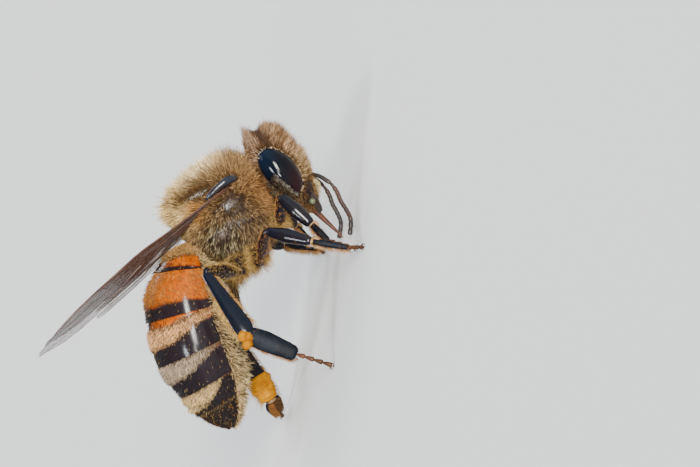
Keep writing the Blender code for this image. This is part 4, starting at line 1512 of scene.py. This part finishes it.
def limb_hair(limb, count, seed, shares, angles, length, stand, colours, strip, spread):
    """Hairs on one limb: shares and angles are ranges, and stand is how steeply they rise from the shell."""
    rng = np.random.default_rng(seed)
    share, angle = rng.uniform(*shares, count), rng.uniform(*angles, count)
    roots, out = limb.surface(share, angle)
    ways = unit(stand * out + limb.axis + rng.normal(size=(count, 3)) * spread)
    lengths = length * rng.uniform(0.6, 1.0, count)
    root, tip = (tone(c, rng, count) for c in colours)
    bends = 0.22 * limb.axis + 0.06 * rng.normal(size=(count, 3)) - 0.12 * out
    around = (strip + (angle / (2 * math.pi)) % 1) / MAP_STRIPS
    return roots, ways, lengths, bends, root, tip, np.stack([around, np.clip(share, 0, 1)], axis=1)


def facing(limb, direction):
    """The angle round a limb that looks a given way."""
    return math.atan2(float(direction @ limb.through), float(direction @ limb.across))


def about(angle, half):
    return angle - half, angle + half


# %% Leg coats
STRAW, GOLD, BRONZE, TAN = (0.44, 0.275, 0.085), (0.40, 0.17, 0.04), (0.12, 0.05, 0.016), (0.20, 0.09, 0.025)
# The blue-grey and pale blue pair paint a highlight along the hind shin's edge.
AMBER, GLINT_PAINT_ROOT, GLINT_PAINT_TIP, STEEL = (0.62, 0.34, 0.13), (0.20, 0.24, 0.32), (0.55, 0.62, 0.75), (0.03, 0.036, 0.045)
FULL = (0, 2 * math.pi)


def hair_rows(pair, side, limbs):
    """Limb, hairs, seed step, shares, angles, length, stand, colours, strip of the map and spread."""
    shin, brush = "tibia", "basitarsus"
    under = facing(limbs[brush], np.array([-0.8, -0.2 * side, -0.4]))
    hip = ("coxa", 950, 0, (0.0, 1), FULL, 0.56, 1.6, (UMBER, STRAW), 0, 0.35)
    if pair != "hind":
        return (hip,
                ("femur", 420, 1, (0.02, 0.98), FULL, 0.13, 0.6, (SOOT, GOLD), 1, 0.2),
                (shin, 60, 2, (0.5, 1), FULL, 0.08, 0.4, (SOOT, BRONZE), 2, 0.1),
                (brush, 300, 3, (0, 1.05), about(under, 0.8), 0.30, 1.5, (BRONZE, AMBER), 3, 0.35),
                (brush, 90, 4, (0, 1), FULL, 0.10, 0.5, (SOOT, BRONZE), 3, 0.12))
    inner = about(facing(limbs[brush], -side * SIDE), 1.0)
    # The hind shin's edge that faces the picture's left gets a row of pale blue hairs: a painted highlight.
    edge = facing(limbs[shin], -PICTURE_RIGHT)
    return (hip,
            ("femur", 700, 1, (0.0, 0.95), FULL, 0.26, 0.9, (UMBER, STRAW), 1, 0.25),
            (shin, 200, 2, (0.1, 0.98), about(0, 0.3), 0.30, 1.2, (BRONZE, STRAW), 2, 0.15),
            (shin, 200, 3, (0.1, 0.98), about(math.pi, 0.3), 0.30, 1.2, (BRONZE, STRAW), 2, 0.15),
            (shin, 110, 8, (0.35, 0.98), about(math.pi, 0.2), 0.5, 1.6, (STRAW, STRAW), 2, 0.15),
            (shin, 200, 9, (0.04, 0.85), (edge - 0.16, edge + 0.10), 0.07, 0.2, (GLINT_PAINT_ROOT, GLINT_PAINT_TIP), 2, 0.05),
            (shin, 260, 4, (0.0, 1.0), inner, 0.12, 0.5, (SOOT, BRONZE), 2, 0.15),
            (brush, 700, 5, (0.0, 1.0), inner, 0.16, 0.8, (SOOT, TAN), 3, 0.12),
            (brush, 420, 6, (0.0, 1.04), about(under, 0.4), 0.22, 1.1, (BRONZE, GOLD), 3, 0.15),
            (brush, 260, 7, (0.0, 1.0), FULL, 0.07, 0.3, (SOOT, STEEL), 3, 0.1))


for index, ((pair, side), limbs) in enumerate(LEGS.items()):
    batches = [limb_hair(limbs[name], count, 100 + 20 * index + step, *rest)
               for name, count, step, *rest in hair_rows(pair, side, limbs)]
    roots, ways, lengths, bends, root, tip, places = (np.concatenate(part) for part in zip(*batches))
    grow(f"{pair}_leg_{LETTERS[side]}_hair", roots, ways, lengths, bends, root, tip, places, width=0.017)

# %% [markdown]
# ## Wings
# A wing is a clear skin stretched between veins, thin as foil. Its outline comes from the share of its
# length and the edges there, on the plane that the slab solid lies in, tipped a little so that the trailing
# edge hangs. The veins are tubes laid on the skin, thick along the leading edge, and fine where they close
# the cells.

# %% Wing planes
WING_HINGE = np.array([0.95, 1.78, 5.15])
WING_RISE = {-1: math.radians(33.8), 1: math.radians(32.2)}
WING_SPREAD, WING_ROLL = math.radians(21), math.radians(14)
# Share of the length, and how far the skin sinks there for each millimetre toward the trailing edge.
WING_TWIST = np.array(((0, 0.30), (0.27, 0.27), (0.5, 0.33), (0.65, 0.25), (0.75, 0.234), (0.85, 0.2),
                       (0.92, 0.157), (1, 0.127)))
MOST_SINK, MOST_RISE = 0.48, 0.38
FOREWING_LENGTH = 9.4
SKIN_THICKNESS = 0.012
# Share of the length, leading edge, trailing edge.
FOREWING = smooth_curve(((0.0, 0.0, 0.3), (0.1, 0.0, 0.62), (0.25, 0.0, 1.2), (0.45, 0.0, 2.1),
                         (0.65, 0.04, 2.75), (0.8, 0.12, 3.0), (0.9, 0.35, 2.85), (0.96, 0.75, 2.5),
                         (1.0, 1.3, 2.0)), 5)
HINDWING_WIDTHS = smooth_curve(((0.04, 0.3), (0.15, 0.6), (0.3, 0.88), (0.45, 0.95), (0.58, 0.85),
                                (0.65, 0.55), (0.68, 0.25)), 5)


def wing_edges(rows, share):
    """Leading and trailing edge of a wing at shares of the length."""
    return (np.interp(share, rows[:, 0], rows[:, i]) for i in (1, 2))


def hindwing():
    """The hindwing hooks on just behind the forewing's trailing edge."""
    share, width = HINDWING_WIDTHS.T
    _, edge = wing_edges(FOREWING, share)
    return np.stack([share, edge + 0.02, edge + width], axis=1)


HINDWING = hindwing()


def wing_axes(side):
    """Along the leading edge, across toward the trailing edge, and out of the wing."""
    flat, rise = math.cos(WING_RISE[side]), math.sin(WING_RISE[side])
    along = np.array([-flat * math.cos(WING_SPREAD), side * flat * math.sin(WING_SPREAD), rise])
    level = np.array([-math.sin(WING_SPREAD), -side * math.cos(WING_SPREAD), 0])
    steep = np.cross(along, level) * -side
    steep = steep if steep[2] > 0 else -steep
    across = math.cos(WING_ROLL) * level + math.sin(WING_ROLL) * steep
    out = np.cross(along, across)
    return along, across, out if out[2] > 0 else -out


def on_wing(side, share, edge, out=0.0):
    """A point of the wing. The skin is pleated a little, like a fan."""
    along, across, normal = wing_axes(side)
    share, edge, out = np.broadcast_arrays(*(np.asarray(value, float) for value in (share, edge, out)))
    lead, trail = wing_edges(FOREWING, share)
    sink = np.clip(np.interp(share, *WING_TWIST.T) * ((lead + trail) / 2 - edge), -MOST_SINK, MOST_RISE)
    pleat = 0.02 * np.sin(edge * 5.5) * np.clip(share * 4, 0, 1)
    return (WING_HINGE * (1, side, 1) + share[..., None] * FOREWING_LENGTH * along + edge[..., None] * across
            + (out + sink + pleat)[..., None] * normal)


def wing_skin(side, rows, lift):
    piece = new_piece(bpy.ops.mesh.primitive_grid_add, x_subdivisions=70, y_subdivisions=22, size=2)
    x, y = ((points_of(piece.data)[:, i] + 1) / 2 for i in (0, 1))
    share = rows[0, 0] + x * (rows[-1, 0] - rows[0, 0])
    lead, trail = wing_edges(rows, share)
    frayed = 0.03 * np.sin(share * 61) * np.sin(share * 143) * (y > 0.99)
    set_points(piece, on_wing(side, share, lead + y * (trail - lead) + frayed, lift))
    apply_modifier(piece, "SOLIDIFY", thickness=SKIN_THICKNESS, offset=0)
    return shaded(faces_out(piece), 50)


# %% Veins and wings
# Share of a vein's length, and how thick it is there.
VEIN_FORM = ((0, 0.5), (0.03, 1), (0.5, 0.85), (0.95, 0.6), (1, 0.2))


def vein(side, stops, thick, lift):
    """A vein through stops given as share of the length and distance from the leading line."""
    route = smooth_curve(stops, 5)
    path = on_wing(side, route[:, 0], route[:, 1], lift)
    ends, halves = zip(*((share, part * thick) for share, part in VEIN_FORM))
    shares = np.linspace(0, 1, 3 * len(stops) + 2)
    stations = [(share, half, half) for share, half in zip(shares, np.interp(shares, ends, halves))]
    return bent_along(drawn_tube(stations, 6), path)


# The stops of each vein, and its half thickness.
FORE_VEINS = (
    (((0.0, 0.05), (0.2, 0.03), (0.5, 0.03), (0.68, 0.07), (0.8, 0.15), (0.9, 0.38), (0.96, 0.78)), 0.045),
    (((0.0, 0.14), (0.25, 0.14), (0.5, 0.13), (0.62, 0.12)), 0.035),
    (((0.0, 0.22), (0.08, 0.30), (0.15, 0.4), (0.3, 0.62), (0.42, 0.75)), 0.085),
    (((0.36, 0.70), (0.42, 0.75), (0.55, 0.85), (0.7, 0.98), (0.85, 1.25)), 0.024),
    (((0.02, 0.26), (0.15, 0.56), (0.3, 1.0), (0.42, 1.40), (0.5, 1.7), (0.56, 2.05), (0.6, 2.5)), 0.045),
    (((0.45, 0.14), (0.5, 0.35), (0.6, 0.42), (0.72, 0.38), (0.83, 0.2)), 0.020),
    (((0.5, 0.35), (0.52, 0.6), (0.5, 0.82)), 0.015),
    (((0.6, 0.42), (0.61, 0.65), (0.585, 0.88)), 0.015),
    (((0.72, 0.4), (0.69, 0.7), (0.665, 0.95)), 0.015),
    (((0.42, 0.75), (0.43, 1.1), (0.42, 1.45)), 0.015),
    (((0.42, 1.42), (0.54, 1.5), (0.66, 1.52), (0.78, 1.62), (0.88, 1.9)), 0.015),
    (((0.585, 0.88), (0.62, 1.2), (0.62, 1.5)), 0.013),
    (((0.3, 0.62), (0.29, 0.85), (0.3, 1.1)), 0.015),
)
# Start, place across the hindwing, half thickness.
HIND_VEINS = ((0.04, 0.03, 0.04), (0.05, 0.35, 0.018), (0.08, 0.7, 0.015))


def hind_veins(side, lift):
    made = []
    for start, across, thick in HIND_VEINS:
        shares = np.linspace(start, 0.64, 6)
        lead, trail = wing_edges(HINDWING, shares)
        made.append(vein(side, list(zip(shares, lead + across * (trail - lead))), thick, lift))
    return made


WING_LIFT = {-1: 0.0, 1: -0.10}
HINDWING_DROP = 0.03  # so that the hindwing lies under the forewing
for side, letter in LETTERS.items():
    lift = WING_LIFT[side]
    low = lift - HINDWING_DROP
    keep(wing_skin(side, FOREWING, lift), f"forewing_skin_{letter}", MEMBRANE, "wing", f"forewing_{letter}")
    keep(wing_skin(side, HINDWING, low), f"hindwing_skin_{letter}", HIND_MEMBRANE, "wing",
         f"hindwing_{letter}")
    veins = [vein(side, stops, thick, lift) for stops, thick in FORE_VEINS] + hind_veins(side, low)
    keep(shaded(joined(veins), 60), f"wing_veins_{letter}", VEIN, "wing")
print("wings dressed, veins on each side:", len(veins))

# %% [markdown]
# ## Shoulder caps
# A small domed cap and a hinge plate cover the root of each wing. They are smooth and blue-black.

# %% Shoulder caps
CAP_PATH = ((1.34, 1.86, 4.98), (1.13, 2.02, 5.31), (0.88, 2.05, 5.53), (0.54, 1.98, 5.76),
            (0.16, 1.86, 5.98))
CAP_STATIONS = ((0, 0.05, 0.04), (0.05, 0.12, 0.10), (0.2, 0.175, 0.14), (0.42, 0.155, 0.14),
                (0.54, 0.115, 0.10), (0.68, 0.15, 0.13), (0.86, 0.11, 0.10), (1, 0.04, 0.04))


def shoulder_cap(side):
    """Long dome over the hinge that narrows, then swells again into the hinge plate."""
    piece = smoothed(drawn_tube(CAP_STATIONS, 16))
    return shaded(bent_along(piece, smooth_curve(on_side(CAP_PATH, -side), 5)), 60)


for side, letter in LETTERS.items():
    keep(shoulder_cap(side), f"shoulder_cap_{letter}", CAP_SHELL, "black_shell", f"tegula_{letter}")
print("shoulder caps made")

# %% [markdown]
# ## Pollen
# Pollen is packed into a lump on each hind shin: a ball pushed in and out, with grains standing on it.
# Loose grains cling all over the hairs.


# %% Pollen lumps and loose grains
def grain_mesh(name, spots, sizes, seed):
    """Many small eight-sided grains in one mesh."""
    rng = np.random.default_rng(seed)
    corners = np.array([(1, 0, 0), (-1, 0, 0), (0, 1, 0), (0, -1, 0), (0, 0, 1), (0, 0, -1)], float)
    faces = np.array([(0, 2, 4), (2, 1, 4), (1, 3, 4), (3, 0, 4),
                      (2, 0, 5), (1, 2, 5), (3, 1, 5), (0, 3, 5)])
    uneven = rng.uniform(0.8, 1.2, (len(spots), 1, 3))
    points = spots[:, None, :] + corners[None] * sizes[:, None, None] * uneven
    index = faces[None] + 6 * np.arange(len(spots))[:, None, None]
    data = bpy.data.meshes.new(name)
    data.from_pydata(points.reshape(-1, 3).tolist(), [], index.reshape(-1, 3).tolist())
    data.shade_smooth()
    return add_object(name, data)


def pollen_ball(centre, half, seed):
    piece = new_piece(bpy.ops.mesh.primitive_ico_sphere_add, subdivisions=4, radius=1)
    away = unit(points_of(piece.data))
    wide = 0.06 * np.sin(away @ (4.1, 2.3, 3.7) * 1.5 + seed)
    lumps = wide + 0.05 * np.sin(away @ (7.3, -5.1, 6.2) + 2 * seed)
    set_points(piece, away * (1 + lumps)[:, None] * half + centre)
    return piece


def pollen_load(balls, count, seed):
    """Balls with this many grains standing on each."""
    lumps = [pollen_ball(*np.array(ball), seed + i) for i, ball in enumerate(balls)]
    grains = []
    for lump in lumps:
        roots, _, rng = scattered(lump, count, seed)
        grains.append(grain_mesh("grains", roots, rng.uniform(0.012, 0.024, count), seed))
    return shaded(joined(lumps + grains), 60)


# The middle and half sizes of each ball.
NEAR_LOAD = (((-4.70, -4.0, 3.58), (0.20, 0.24, 0.17)), ((-4.95, -3.98, 3.34), (0.21, 0.22, 0.19)),
             ((-4.7, -3.95, 3.40), (0.18, 0.2, 0.2)))
FAR_LOAD = (((-5.92, 3.86, 1.52), (0.54, 0.47, 0.48)), ((-6.2, 3.95, 1.22), (0.44, 0.43, 0.42)))
keep(pollen_load(NEAR_LOAD, 260, 5), "pollen_load_r_grains", POLLEN, "pollen", "pollen_load_r")
keep(pollen_load(FAR_LOAD, 500, 6), "pollen_load_l_grains", POLLEN, "pollen", "pollen_load_l")


def loose_grains():
    """Dust on the coat: each grain sits near the end of a hair, or on the shell of a leg."""
    rng = np.random.default_rng(77)
    spots = []
    for middle, half, count in ((THORAX, 2.0, 130), (HEAD, 1.6, 40)):
        away = unit(rng.normal(size=(count, 3)))
        spots.append(middle + away * half * rng.uniform(0.92, 1.02, (count, 1)))
    count = 300
    ring, angle = rng.uniform(0.6, 5.95, count), rng.uniform(-math.pi, math.pi, count)
    ring = np.where(rng.random(count) < 0.7, 6 - 1.2 * rng.random(count) ** 1.5, ring)
    spots.append(abdomen_point(ring, angle, rng.uniform(0.03, 0.14, count)))
    for limbs in LEGS.values():
        for name, limb in limbs.items():
            count = 2 if name == "tibia" else 8
            spots.append(limb.surface(rng.uniform(0.05, 1, count), rng.uniform(*FULL, count))[0])
    spots = np.concatenate(spots)
    return grain_mesh("loose grains", spots, rng.uniform(0.009, 0.018, len(spots)), 78)


keep(loose_grains(), "loose_pollen", POLLEN, "pollen")
print("pollen made")

# %% Write the sizes and finish
print("coat triangles:", sum(COAT_PIECES), "in", len(COAT_PIECES), "pieces")
